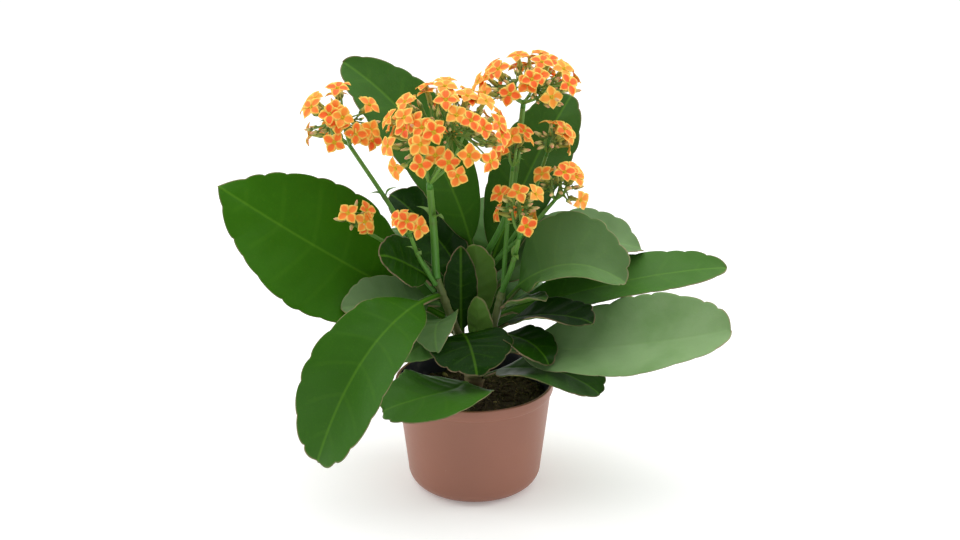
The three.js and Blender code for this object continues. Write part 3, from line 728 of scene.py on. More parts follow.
class KalanchoeSettings(bpy.types.PropertyGroup):
    """All the settings of the potted kalanchoe."""

    pot: PointerProperty(type=PotSettings)
    soil: PointerProperty(type=SoilSettings)
    leaf: PointerProperty(type=LeafSettings)
    flower: PointerProperty(type=FlowerSettings)
    stage: PointerProperty(type=StageSettings)


def settings_of(context):
    return context.scene.kalanchoe


# ---- Pot and soil ---------------------------------------------------------------------------

POT_SIDES = 144
DRAIN_HOLES = 5
DRAIN_SIDES = 28
CREASE = math.radians(40)
SOIL_SIDES = 160
SOIL_SEED = 3
PEAT_SUNK = 0.9
FIBRE_SUNK = 0.4
FIBRE_COUNT = 60
GRIT_FROM = 0.965


def wall_radius(pot, height):
    """The wall's outer radius at a height, below the rim band."""
    foot, top = pot.base_radius / MM, RIM_RADIUS - pot.band_step / MM
    return foot + (top - foot) * height / POT_HEIGHT


def heel_arc(pot, inset, steps=12):
    """The rounded heel from the underside up to the wall, moved inwards by an inset."""
    heel = pot.heel_radius / MM
    centre = wall_radius(pot, heel) - heel
    turn = np.linspace(-math.pi / 2, 0, steps)
    return [[centre + (heel - inset) * math.cos(a), heel + (heel - inset) * math.sin(a)] for a in turn]


def pot_outline(pot):
    """The pot's outline in two runs: the outside up to the lip, then the inside down to the middle."""
    wall, step = pot.wall / MM, pot.band_step / MM
    foot = POT_HEIGHT - pot.band_height / MM
    lip = wall / 2
    outside = [[0, 0], [8, 0], [16, 0], [26, 0], *heel_arc(pot, 0)]
    for height in np.linspace(outside[-1][1] + 3, foot - 1, 10):
        outside.append([wall_radius(pot, height), height])
    for share in np.linspace(0, 1, 5):
        outside.append([wall_radius(pot, foot) + step * float(ease(share, 0, 1)), foot + step * share])
    outside += [[RIM_RADIUS - 0.15, foot + 3], [RIM_RADIUS - 0.05, POT_HEIGHT - 2.2]]
    for turn in np.linspace(0, math.pi / 2, 5):
        outside.append([RIM_RADIUS - lip + lip * math.cos(turn), POT_HEIGHT - lip + lip * math.sin(turn)])
    inner = wall_radius(pot, POT_HEIGHT) - wall
    inside = [[inner + 0.5, POT_HEIGHT], [inner + 0.12, POT_HEIGHT - 0.25], [inner, POT_HEIGHT - 0.8]]
    for height in np.linspace(POT_HEIGHT - 3, pot.heel_radius / MM + 3, 8):
        inside.append([wall_radius(pot, height) - wall, height])
    inside += heel_arc(pot, wall)[::-1] + [[16, wall], [0, wall]]
    return outside, inside


class KALANCHOE_OT_pot(bpy.types.Operator):
    """Make the nursery pot, with its rim band, dark inside and drain holes"""

    bl_idname = "kalanchoe.pot"
    bl_label = "Pot"

    def execute(self, context):
        pot = settings_of(context).pot
        outside, inside = pot_outline(pot)
        shape = Shape()
        turned(shape, outside + inside, POT_SIDES)
        finish_of_row = [0] * (len(outside) + 1) + [1] * (len(inside) - 2)
        shape.finishes = [finish for finish in finish_of_row for _ in range(POT_SIDES)]
        piece = shape.made("nursery_pot", [pot_outside_finish(pot), pot_inside_finish(pot)])
        drill = Shape()
        for hole in range(DRAIN_HOLES):
            at = bearing(hole * 360 / DRAIN_HOLES) * pot.drain_circle / MM
            tube(drill, [at - UP * 3, at, at + UP * 5], pot.drain_radius / MM, DRAIN_SIDES)
        cutter = drill.made("drain_drill", [])
        modifier = piece.modifiers.new("drain_holes", "BOOLEAN")
        modifier.operation = "DIFFERENCE"
        modifier.solver = "EXACT"
        modifier.object = cutter
        shown = piece.evaluated_get(context.evaluated_depsgraph_get())
        cut = bpy.data.meshes.new_from_object(shown)
        piece.modifiers.clear()
        piece.data = cut
        bpy.data.objects.remove(cutter)
        cut.set_sharp_from_angle(angle=CREASE)
        placed(piece, "pot")
        return {"FINISHED"}


def unevenness(x, y):
    """A gentle uneven height, from -1 to 1, at places in millimetres."""
    chance = random.Random(SOIL_SEED)
    height = np.zeros_like(x)
    for octave in range(5):
        for _ in range(3):
            turn, shift = chance.uniform(0, 2 * math.pi), chance.uniform(0, 2 * math.pi)
            scale = 0.22 * 1.9**octave
            height += np.sin((x * math.cos(turn) + y * math.sin(turn)) * scale + shift) * 0.62**octave
    return height / 4


def surface(soil, at, sunk):
    """The height of the uneven surface at a place, sunk by a little."""
    return SOIL_TOP - sunk + soil.relief / MM * float(unevenness(at[:1], at[1:2])[0])


def root_ball(soil, pot, edge):
    """The body of the peat: its uneven top, its side along the pot and its socket for the stem."""
    clear = pot.wall / MM + JOINT_GAP
    socket = STEM_RADIUS + JOINT_GAP
    floor = SOIL_TOP - ROOT_DEPTH - JOINT_GAP
    radii = np.concatenate([np.linspace(edge, STEM_RADIUS + 1, 46), [socket]])
    angle = np.arange(SOIL_SIDES) * 2 * math.pi / SOIL_SIDES
    x, y = radii[:, None] * np.cos(angle), radii[:, None] * np.sin(angle)
    rounded = 1.5 * ease(radii, edge - 5, edge)[:, None]
    z = SOIL_TOP - PEAT_SUNK + soil.relief / MM * unevenness(x, y) - rounded
    side = [[0, clear], *heel_arc(pot, clear)]
    for height in np.linspace(SOIL_TOP - 5, pot.heel_radius / MM + 2, 7)[::-1]:
        side.append([wall_radius(pot, height) - clear, height])
    shape = Shape()
    turned(shape, side, SOIL_SIDES)
    inner = shape.count
    turned(shape, [[socket, floor + 2], [socket, floor], [0, floor]], SOIL_SIDES)
    first_top = shape.count
    shape.add(np.stack([x, y, z], axis=-1), grid(len(radii), SOIL_SIDES))
    index = np.arange(SOIL_SIDES)
    following = (index + 1) % SOIL_SIDES
    for one, other in ((inner - SOIL_SIDES, first_top), (shape.count - SOIL_SIDES, inner)):
        quads = [one + index, one + following, other + following, other + index]
        shape.faces.append(np.stack(quads, axis=-1))
        shape.finishes += [0] * SOIL_SIDES
    return shape


def add_crumb(shape, soil, edge, chance):
    """One loose crumb of peat or, now and then, of pale grit."""
    away = math.sqrt(chance.uniform((STEM_RADIUS + 3) ** 2, (edge - 2.5) ** 2))
    at = bearing(chance.uniform(0, 360)) * away
    size = soil.crumb / MM * chance.uniform(0.4, 1.5)
    grit = chance.random()
    tone = 0.9 if grit > GRIT_FROM else 0.25 * grit**3
    long = size * chance.uniform(1.0, 1.9)
    lie = bearing(chance.uniform(0, 360)) + UP * chance.uniform(-0.3, 0.3)
    middle = at + UP * (surface(soil, at, PEAT_SUNK) + 0.25 * size)
    spine = [middle + lie * long * share for share in (-1, -0.6, 0, 0.6, 1)]
    thick = [0.15 * size, 0.7 * size, size * chance.uniform(0.7, 1), 0.75 * size, 0.1 * size]
    tube(shape, spine, thick, 7, tone=(tone, 0, 0), lobes=chance.uniform(0.05, 0.22), lobe_count=3)


def add_fibre(shape, soil, edge, chance):
    """One fine fibre that lies bent on the surface."""
    at = bearing(chance.uniform(0, 360)) * chance.uniform(STEM_RADIUS + 4, edge - 9)
    lie = bearing(chance.uniform(0, 360))
    half = chance.uniform(2, 5)
    bend = np.cross(lie, UP) * chance.uniform(-1.5, 1.5)
    route = Route([at - lie * half, at + bend + UP * chance.uniform(0.2, 1), at + lie * half])
    points = route.at(np.linspace(0, 1, 7)) + UP * surface(soil, at, FIBRE_SUNK)
    radii = [0.1, 0.22, 0.26, 0.26, 0.25, 0.2, 0.08]
    tube(shape, points, radii, 6, tone=(chance.uniform(0.1, 0.6), 0, 0))


class KALANCHOE_OT_soil(bpy.types.Operator):
    """Make the root ball, with crumbs, fibres and grit on its surface"""

    bl_idname = "kalanchoe.soil"
    bl_label = "Soil"

    def execute(self, context):
        settings = settings_of(context)
        soil, pot = settings.soil, settings.pot
        edge = wall_radius(pot, SOIL_TOP) - (pot.wall / MM + JOINT_GAP)
        chance = random.Random(7)
        materials = [peat_finish(soil)]
        placed(root_ball(soil, pot, edge).made("root_ball", materials), "potting_soil")
        crumbs = Shape()
        for _ in range(soil.crumbs):
            add_crumb(crumbs, soil, edge, chance)
        for _ in range(FIBRE_COUNT):
            add_fibre(crumbs, soil, edge, chance)
        placed(crumbs.made("peat_crumbs", materials), "potting_soil")
        return {"FINISHED"}


# ---- Stems ----------------------------------------------------------------------------------


def planted(points):
    """Points given from the middle of the soil's surface."""
    return np.asarray(points, float) + UP * SOIL_TOP


def stem_routes():
    """Each stem's route and radius, as the leaves and stalks use them."""
    routes = {"main_stem": (Route(planted([[0, 0, -ROOT_DEPTH], [0, 0, KNUCKLE_HEIGHT]])), KNUCKLE_RADIUS)}
    for name, points in SHOOTS.items():
        lifted = planted(points) + UP * (KNUCKLE_HEIGHT + JOINT_GAP)
        routes[name] = (Route(lifted), SHOOT_RADIUS)
    return routes


STEMS = stem_routes()


class KALANCHOE_OT_stems(bpy.types.Operator):
    """Make the planted main stem, its knuckle and the three shoots"""

    bl_idname = "kalanchoe.stems"
    bl_label = "Stems"

    def execute(self, context):
        material = stem_finish()
        heights = np.linspace(-ROOT_DEPTH, KNUCKLE_HEIGHT, 60)
        swell = ease(heights, 2, 14)
        radii = STEM_RADIUS + (KNUCKLE_RADIUS - STEM_RADIUS) * swell
        radii = radii + 0.3 * np.sin(heights * 1.3) * swell
        radii = radii - 1.6 * ease(heights, KNUCKLE_HEIGHT - 2, KNUCKLE_HEIGHT)
        shape = Shape()
        axis = planted(np.stack([0.25 * np.sin(heights / 6), 0 * heights, heights], axis=-1))
        age = np.stack([1 - 0.5 * ease(heights, 6, 18), 0 * heights, 0 * heights], axis=-1)
        tube(shape, axis, radii, 40, place=age, lobes=0.03, lobe_count=5)
        placed(shape.made("main_stem_bark", [material]), "main_stem")
        for name in SHOOTS:
            route = STEMS[name][0]
            share = np.linspace(0, 1, 90)
            joints = [leaf[2] for leaf in LEAVES if leaf[1] == name]
            radii = np.full(len(share), SHOOT_RADIUS * 0.97)
            for joint in joints:
                radii += 0.45 * bump_at(share, joint, 0.02)
            radii *= 1 - 0.12 * share - 0.25 * ease(share, 0.985, 1)
            age = np.stack([0.55 * (1 - share), 0 * share, 0 * share], axis=-1)
            shape = Shape()
            tube(shape, route.at(share), radii, 24, place=age, lobes=0.03)
            placed(shape.made(name + "_skin", [material]), name)
        return {"FINISHED"}


# ---- Leaves ---------------------------------------------------------------------------------


def leaf_frame(leaf, t):
    """The leaf's own directions at shares of its length: along it, across to its left, and above it."""
    outwards = bearing(leaf["toward"])
    chord = outwards * leaf["spread"] + UP * leaf["rise"]
    sideways = np.cross(UP, outwards)
    lift = unit(np.cross(chord, sideways))
    bend = lift * leaf["arch"] + sideways * leaf["swing"]
    t = np.asarray(t, float)[..., None]
    along = unit(chord + bend * 4 * (1 - 2 * t))
    across = unit(sideways - along * np.sum(along * sideways, axis=-1, keepdims=True))
    roll = math.radians(leaf["roll"])
    across = across * math.cos(roll) + np.cross(along, across) * math.sin(roll)
    return chord, bend, across, np.cross(along, across)


def leaf_foot(leaf):
    """The middle of the leaf's foot, held clear of the stem it grows on."""
    route, radius = STEMS[leaf["stem"]]
    stem_along = route.along(leaf["at"])
    outwards = bearing(leaf["toward"])
    away = unit(outwards - stem_along * np.dot(outwards, stem_along))
    _, _, across, above = leaf_frame(leaf, 0.0)
    reach = math.hypot(PETIOLE_HALF_DEPTH * np.dot(above, away), PETIOLE_HALF_WIDTH * np.dot(across, away))
    return route.at(leaf["at"]) + away * (radius + reach)


def blade_share(t):
    return np.clip((t - PETIOLE_SHARE) / (1 - PETIOLE_SHARE), 0, 1)


def half_width(leaf, t):
    """The leaf's half-width at shares of its length, petiole and blade together."""
    blade = blade_share(t)
    eased = blade * blade / (blade + 0.03) * 1.03
    taper = (1 + leaf["point"]) / 2
    widest = BLADE_SHOULDER / (BLADE_SHOULDER + 2 * taper)
    outline = (eased**BLADE_SHOULDER * (1 - np.clip(eased, 0, 1) ** 2) ** taper) / (
        widest ** (BLADE_SHOULDER / 2) * (1 - widest) ** taper
    )
    return PETIOLE_HALF_WIDTH * (1 - blade) + leaf["width"] / 2 * outline


# Places across a half of the blade, 0 at the midrib and 1 at the margin, closer where it curves most.
LEAF_COLUMNS_ACROSS = np.array(
    [0, 0.025, 0.06, 0.11, 0.18, 0.27, 0.38, 0.5, 0.62, 0.74, 0.84, 0.91, 0.955, 0.985, 1]
)
ROW_LENGTH = 1.2


def margin(leaf, settings, side, rows):
    """The margin of one half of the leaf, scalloped: how far along it is, and how far across."""
    t = np.sin(np.linspace(0, math.pi / 2, 1200))
    span = math.hypot(leaf["spread"], leaf["rise"])
    along, across = t * span, half_width(leaf, t)
    arc = np.concatenate([[0], np.cumsum(np.hypot(np.diff(along), np.diff(across)))])
    blade_start = np.interp(PETIOLE_SHARE, t, arc) / arc[-1]
    share = np.linspace(0, 1, rows)
    a, w = np.interp(share * arc[-1], arc, along), np.interp(share * arc[-1], arc, across)
    da, dw = np.gradient(a), np.gradient(w)
    norm = np.hypot(da, dw) + 1e-9
    blade = np.clip((share - blade_start) / (1 - blade_start), 0, 1)
    scallop = settings.scallop / MM * (0.45 + 0.55 * span / 160)
    scallops = max(5, round(arc[-1] * (1 - blade_start) / scallop))
    chance = random.Random(leaf["name"] + str(side))
    sizes = np.array([chance.uniform(0.55, 1.15) for _ in range(scallops + 2)])
    phase = blade * scallops + 0.18 * np.sin(2 * math.pi * blade * scallops / 3 + chance.uniform(0, 6))
    phase = np.clip(phase, 0, scallops)
    lobe = np.abs(np.sin(math.pi * phase)) ** 0.5 * sizes[np.floor(phase).astype(int)]
    strength = ease(blade, 0.12, 0.4) * (1 - 0.6 * ease(blade, 0.95, 1)) * min(1, leaf["width"] / 40)
    out = settings.scallop_depth / MM * (lobe - 0.55) * strength
    return a - dw / norm * out, np.maximum(w + da / norm * out, 0) * (share < 1), blade, lobe


def leaf_half(leaf, settings, side, rows, habit):
    """One half of the leaf, from midrib to margin, with the heights of its lower and upper faces."""
    waves, wave_shift, dent = habit
    q = LEAF_COLUMNS_ACROSS
    span = math.hypot(leaf["spread"], leaf["rise"])
    a, w, blade, lobe = margin(leaf, settings, side, rows)
    rib = np.where(blade > 0, 0.35 * blade + 0.65 * blade**1.5, 0)
    rib_along = np.where(blade > 0, PETIOLE_SHARE + (1 - PETIOLE_SHARE) * rib, 0) * span
    rib_along = np.where(blade > 0, rib_along, np.minimum(a, PETIOLE_SHARE * span))
    along = rib_along[:, None] + (a - rib_along)[:, None] * q[None] ** 1.25
    across = side * w[:, None] * q[None]
    t = along / span
    opened = np.clip(blade_share(t) / BLADE_OPENS_BY, 0, 1)
    open_row = np.clip(blade / BLADE_OPENS_BY, 0, 1)[:, None]
    flat = 1 - 0.45 * q[None] ** 1.5
    rounding = np.sqrt(np.clip(1 - np.clip((q[None] - 0.93) / 0.07, 0, 1) ** 2, 0, 1))
    oval = np.sqrt(np.clip(1 - q[None] ** 2, 0, 1))
    profile = oval * (1 - open_row) + flat * rounding * open_row
    to_tip = np.clip((1 - t) * span / 4, 0, 1)
    depth = (PETIOLE_HALF_DEPTH + (BLADE_HALF_DEPTH - PETIOLE_HALF_DEPTH) * opened) * profile
    depth = depth * np.sqrt(to_tip)
    tip_fade = 1 - 0.8 * blade[:, None]
    groove = 0.7 * bump_at(across, 0, 1.5) * opened * tip_fade
    ridge = 1.1 * bump_at(across, 0, 1.7) * opened * tip_fade
    furrow = np.cos(2 * math.pi * (blade[:, None] * VEIN_COUNT - 0.25)) * 0.22
    furrow = furrow * bump_at(q[None], 0.45, 0.4) * opened
    width_here = np.maximum(half_width(leaf, t), 0.35 * leaf["width"] / 2)
    fold = math.radians(leaf["cup"]) * opened
    lift = np.abs(across) ** FOLD_CURVE / width_here ** (FOLD_CURVE - 1) * np.sin(fold)
    wave = np.sin(2 * math.pi * blade[:, None] * waves + wave_shift + side)
    swell = settings.wave / MM * q[None] ** 2.2 * wave
    swell = swell * ease(blade, 0.1, 0.35)[:, None] * min(1, leaf["width"] / 50)
    crimp = 0.35 * (lobe[:, None] - 0.5) * q[None] ** 7 * ease(blade, 0.2, 0.4)[:, None]
    sag = 0.8 * np.sin(along / span * 7 + dent) * np.sin(across / 14 + dent) * opened
    middle = lift + swell + crimp + sag
    heights = middle - depth - ridge + furrow, middle + depth - groove + furrow
    return across, t, fold, heights, blade, w


def leaf_points(leaf, foot, across, t, fold, height):
    """Points across a leaf, at shares of its length and heights above its middle."""
    chord, bend, left, above = leaf_frame(leaf, t)
    centre = foot + chord * t[..., None] + bend * (4 * t * (1 - t))[..., None]
    return centre + left * (across * np.cos(fold))[..., None] + above * height[..., None]


def leaf_piece(leaf, settings, material):
    """One fleshy leaf: a grooved midrib, quilted veins and a waved, scalloped, rounded margin."""
    span = math.hypot(leaf["spread"], leaf["rise"])
    rows = max(int((1.05 * span + 0.3 * leaf["width"]) / ROW_LENGTH), 60)
    chance = random.Random(leaf["name"])
    habit = chance.uniform(1.6, 2.8), chance.uniform(0, 6), chance.uniform(0, 6)
    q = LEAF_COLUMNS_ACROSS
    halves = [leaf_half(leaf, settings, side, rows, habit) for side in (1, -1)]
    foot = leaf_foot(leaf)
    # How much grey sheen is painted on the leaf, rising towards its tip.
    sheen_at_base = max(0.2, 1.6 * leaf["bloom"] - 0.8)
    blocks, places, tones = [], [], []
    for face, order in ((1, (0, 1)), (0, (1, 0))):
        for half in order:
            across, t, fold, heights, blade, w = halves[half]
            points = leaf_points(leaf, foot, across, t, fold, heights[face])
            inwards = (1 - q[None]) * w[:, None]
            place = np.stack([across, np.broadcast_to(blade[:, None], across.shape), inwards], axis=-1)
            painted_sheen = leaf["bloom"] * (sheen_at_base + (1 - sheen_at_base) * ease(blade, 0, 0.75))
            painted_sheen = np.broadcast_to(painted_sheen[:, None], across.shape)
            tone = np.stack([np.full_like(across, leaf["tone"]), np.full_like(across, face), painted_sheen], axis=-1)
            flip = half == order[0]
            columns = slice(None, None, -1) if flip else slice(1, None)
            keep = (points[:, columns], place[:, columns], tone[:, columns])
            if face == 0:
                trimmed = slice(1, None) if flip else slice(0, -1)
                keep = tuple(block[:, trimmed] for block in keep)
            for blocks_of, block in zip((blocks, places, tones), keep):
                blocks_of.append(block)
    points, place, tone = (np.concatenate(parts, axis=1) for parts in (blocks, places, tones))
    columns = points.shape[1]
    shape = Shape()
    shape.add(points, grid(rows, columns), 0, place.reshape(-1, 3), tone.reshape(-1, 3))
    shape.add([foot], np.zeros((0, 3), int), 0, (0, 0, 5), (leaf["tone"], 1, 0))
    corners = np.arange(columns)
    cap = np.stack([np.full(columns, shape.count - 1), (corners + 1) % columns, corners], axis=-1)
    shape.faces.append(cap)
    shape.finishes += [0] * columns
    piece = shape.made("leaf_" + leaf["name"] + "_blade", [material])
    return placed(piece, "leaf_" + leaf["name"])


class KALANCHOE_OT_leaves(bpy.types.Operator):
    """Make every leaf, each with its own scallops, waves and tone"""

    bl_idname = "kalanchoe.leaves"
    bl_label = "Leaves"

    def execute(self, context):
        settings = settings_of(context).leaf
        material = leaf_finish(settings)
        for row in LEAVES:
            leaf_piece(dict(zip(LEAF_COLUMNS, row)), settings, material)
        return {"FINISHED"}


# ---- Flower stalks and heads ------------------------------------------------------------------


def stalk_route(bloom):
    """A stalk's route from its stem to the fork of its head."""
    route, radius = STEMS[bloom["stem"]]
    foot = route.at(bloom["at"])
    along = route.along(bloom["at"])
    points = planted(bloom["points"])
    if "toward" in bloom:
        outwards = bearing(bloom["toward"])
        outwards = unit(outwards - along * np.dot(outwards, along))
        foot = foot + outwards * (radius + bloom["radius"])
    else:
        sine = np.linalg.norm(np.cross(along, unit(points[0] - foot)))
        foot = foot + along * bloom["radius"] * sine
    return Route(np.vstack([foot, points]))


# A bract's section, from edge to edge over the top and back underneath.
BRACT_ACROSS = np.array([-1, -0.5, 0, 0.5, 1, 0.5, 0, -0.5])
BRACT_THICKNESS = np.array([0, 1, 0.7, 1, 0, -1, -1.4, -1]) * 0.28


def bract(shape, foot, outwards, size, droop=0.2, brown=0.0):
    """A small pointed leaf at a fork."""
    outwards = unit(outwards)
    side = unit(np.cross(outwards, UP))
    above = np.cross(side, outwards)
    share = np.linspace(0, 1, 9)
    width = size * 0.17 * np.sin(math.pi * share**0.75) ** 0.8 + 0.25 * (1 - share)
    lifted = size * 0.18 * np.sin(share * 3) - droop * size * share**2
    spine = foot + outwards * (share * size)[:, None] + above * lifted[:, None]
    u = BRACT_ACROSS
    rise = 0.35 * np.abs(u) ** 1.5
    thick = np.minimum(1, 3 * (1 - share))[:, None] * BRACT_THICKNESS
    points = spine[:, None] + side * (width[:, None] * u)[..., None]
    points = points + above * (width[:, None] * rise + thick)[..., None]
    capped(shape, points, np.broadcast_to([brown, 0.5, 0], points.shape))


class KALANCHOE_OT_stalks(bpy.types.Operator):
    """Make the flower stalks, each with a pair of bracts"""

    bl_idname = "kalanchoe.stalks"
    bl_label = "Flower stalks"

    def execute(self, context):
        material = stalk_finish(settings_of(context).flower)
        for bloom in BLOOMS:
            route = stalk_route(bloom)
            share = np.linspace(0, 1, 70)
            radii = bloom["radius"] * (1 - (1 - STALK_TAPER) * share)
            radii = radii * (1 + 0.12 * bump_at(share, 0.62, 0.012) + 0.1 * bump_at(share, 0, 0.03))
            browning = np.stack([0.25 * bump_at(share, 0.62, 0.02), 0.35 * share, 0 * share], axis=-1)
            shape = Shape()
            tube(shape, route.at(share), radii, 20, place=browning, lobes=0.035)
            chance = random.Random(bloom["name"])
            turn = chance.uniform(0, 180)
            joint, along = route.at(0.62), route.along(0.62)
            for half in (0, 180):
                out = unit(bearing(turn + half) + along * 0.9)
                bract(shape, joint + out * bloom["radius"] * 0.5, out, 4.5 * bloom["radius"] + 2, 0.35)
            name = "flower_stalk_" + bloom["name"]
            placed(shape.made(name + "_skin", [material]), name)
        return {"FINISHED"}


def lit(facing):
    """The way a flower faces, leaning a little from its place on the dome towards the front and the light."""
    return unit(facing + np.array([0.0, -0.36, 0.28]))


def ring_places(lean, count, start, end):
    """The places of a ring's flowers, spread evenly along its arc and leaning out and in by turns."""
    turns = [start + (k + 0.5) / count * (end - start) for k in range(count)]
    return [[turn, lean + (-RING_STAGGER if k % 2 else RING_STAGGER)] for k, turn in enumerate(turns)]


def turned_to(facing, spin):
    """A frame whose third axis is the way a flower faces, spun about it."""
    side = np.cross(facing, UP if abs(facing[2]) < 0.95 else np.array([0, 1.0, 0]))
    side = unit(side)
    front = np.cross(facing, side)
    cos, sin = math.cos(spin), math.sin(spin)
    return np.stack([side * cos + front * sin, front * cos - side * sin, facing])


THROAT_RADIUS = 0.7
PETAL_ROWS = 10
PETAL_ACROSS = np.array([-1, -0.72, -0.38, 0, 0.38, 0.72, 1])
PETAL_WIDEST = 0.45
PETAL_THICKNESS = 0.26


def petal_grid(flower, openness):
    """One petal lying along +X from the throat, as a closed thin body."""
    share = np.linspace(0, 1, PETAL_ROWS)
    reach = flower.across / 2 / MM - THROAT_RADIUS
    grow = np.clip(share / PETAL_WIDEST, 0, 1)
    close = np.clip((share - PETAL_WIDEST) / (1 - PETAL_WIDEST), 0, 1)
    half = flower.petal_width / 2 / MM * (0.26 + 0.74 * np.sin(grow * math.pi / 2)) * (1 - close**1.4) ** 0.9
    u = PETAL_ACROSS
    x = THROAT_RADIUS + share * reach * (1 - 0.35 * (1 - openness))
    lift = (1 - openness) * reach * 0.75
    z = 0.55 * np.sin(share * math.pi * 0.85) - 0.9 * share**2 + lift * np.sin(share * 1.4)
    top = np.zeros((PETAL_ROWS, len(u), 3))
    top[..., 0] = x[:, None] - 0.25 * u[None] ** 2 * share[:, None]
    top[..., 1] = half[:, None] * u
    top[..., 2] = z[:, None] + 0.16 * half[:, None] * u[None] ** 2 - 0.18 * bump_at(u, 0, 0.2)[None]
    under = top[:, -2:0:-1] - UP * PETAL_THICKNESS
    points = np.concatenate([top, under], axis=1)
    place = np.zeros(points.shape)
    place[..., 0] = np.concatenate([u, u[-2:0:-1]])
    place[..., 1] = share[:, None]
    return points, place


def add_flower(shape, calyces, flower, tip, facing, chance):
    """One flower: a four-lobed tube that opens into four pointed petals, and its calyx."""
    openness = chance.choice([1, 1, 1, 0.9, 0.8])
    frame_here = turned_to(facing, chance.uniform(0, math.pi / 2))
    tone = chance.uniform(0, 1)
    petal, place = petal_grid(flower, openness)
    for quarter in range(4):
        turn = quarter * math.pi / 2 + chance.uniform(-0.09, 0.09)
        tilt = chance.uniform(-0.12, 0.1)
        size = chance.uniform(0.93, 1.05)
        x, y, z = petal[..., 0] * size, petal[..., 1] * size, petal[..., 2] + tilt * petal[..., 0]
        cos, sin = math.cos(turn), math.sin(turn)
        local = np.stack([x * cos - y * sin, x * sin + y * cos, z + 0.16 * (quarter % 2)], axis=-1)
        capped(shape, tip + local @ frame_here, place, (tone, 0, 0))
    share = np.linspace(0, 1, 9)
    back = np.array([1, 0.92, 0.75, 0.5, 0.28, 0.12, 0.03, 0, -0.03]) * FLOWER_LENGTH
    radii = np.array([0.8, 1.45, 1.65, 1.35, 1.05, 0.95, 1.05, 1.15, 0.5])
    tube_place = np.stack([0 * share, 0 * share, 1 - 0.75 * share**2], axis=-1)
    tube(shape, tip - facing * back[:, None], radii, 12, 0, tube_place, (tone, 0, 0), lobes=0.07)
    for anther in range(4):
        turn = anther * math.pi / 2 + math.pi / 4
        out = np.array([math.cos(turn), math.sin(turn), 0]) * 0.55
        centre = tip + out @ frame_here
        ends = [centre - facing * 0.2, centre + facing * 0.25, centre + facing * 0.55, centre + facing * 0.7]
        tube(shape, ends, [0.3, 0.36, 0.28, 0.08], 6, 0, (0, 0.02, 0.1), (1, 0, 0))
    base = tip - facing * FLOWER_LENGTH
    add_calyx(calyces, base, frame_here, 3.4, 1.75, chance)
    return base


def add_calyx(calyces, base, frame_here, size, spread, chance):
    """Four narrow sepals round the foot of a flower or bud."""
    brown = chance.uniform(0.1, 0.95)
    for quarter in range(4):
        turn = quarter * math.pi / 2 + math.pi / 4
        out = np.array([math.cos(turn), math.sin(turn), 0]) @ frame_here
        share = np.linspace(0, 1, 5)
        bulge = spread * np.sin(share * 1.9)
        spine = base + out * bulge[:, None] + frame_here[2] * (share * size - 0.4)[:, None]
        browning = np.stack([brown * (0.3 + 0.7 * share), 0.4 + 0 * share, 0 * share], axis=-1)
        tube(calyces, spine, [0.45, 0.62, 0.5, 0.32, 0.08], 6, 0, browning)


def add_bud(shape, calyces, tip, facing, size, chance):
    """One closed bud with four faint seams, and its calyx."""
    share = np.linspace(0, 1, 9)
    radii = np.array([0.5, 0.85, 1.0, 0.95, 0.78, 0.72, 0.68, 0.45, 0.08]) * BUD_RADIUS * size
    length_here = BUD_LENGTH * size * 0.95
    flush = chance.random()
    place = np.stack([share, np.full(9, flush), 0 * share], axis=-1)
    tube(shape, tip - facing * ((1 - share) * length_here)[:, None], radii, 10, 0, place, lobes=0.09)
    base = tip - facing * length_here
    add_calyx(calyces, base, turned_to(facing, chance.uniform(0, 1.5)), 2.8 * size, 1.5 * size, chance)
    return base


def stretch(branches, start, end, lead, radius, tip_radius, steps=9, sides=8, place=(0, 0.5, 0)):
    """A branch that leaves its start along a lead and bends over to its end."""
    middle = start + (end - start) * 0.45 + lead
    route = Route([start, middle, end])
    share = np.linspace(0, 1, steps)
    tube(branches, route.at(share), radius + (tip_radius - radius) * share, sides, 0, place)


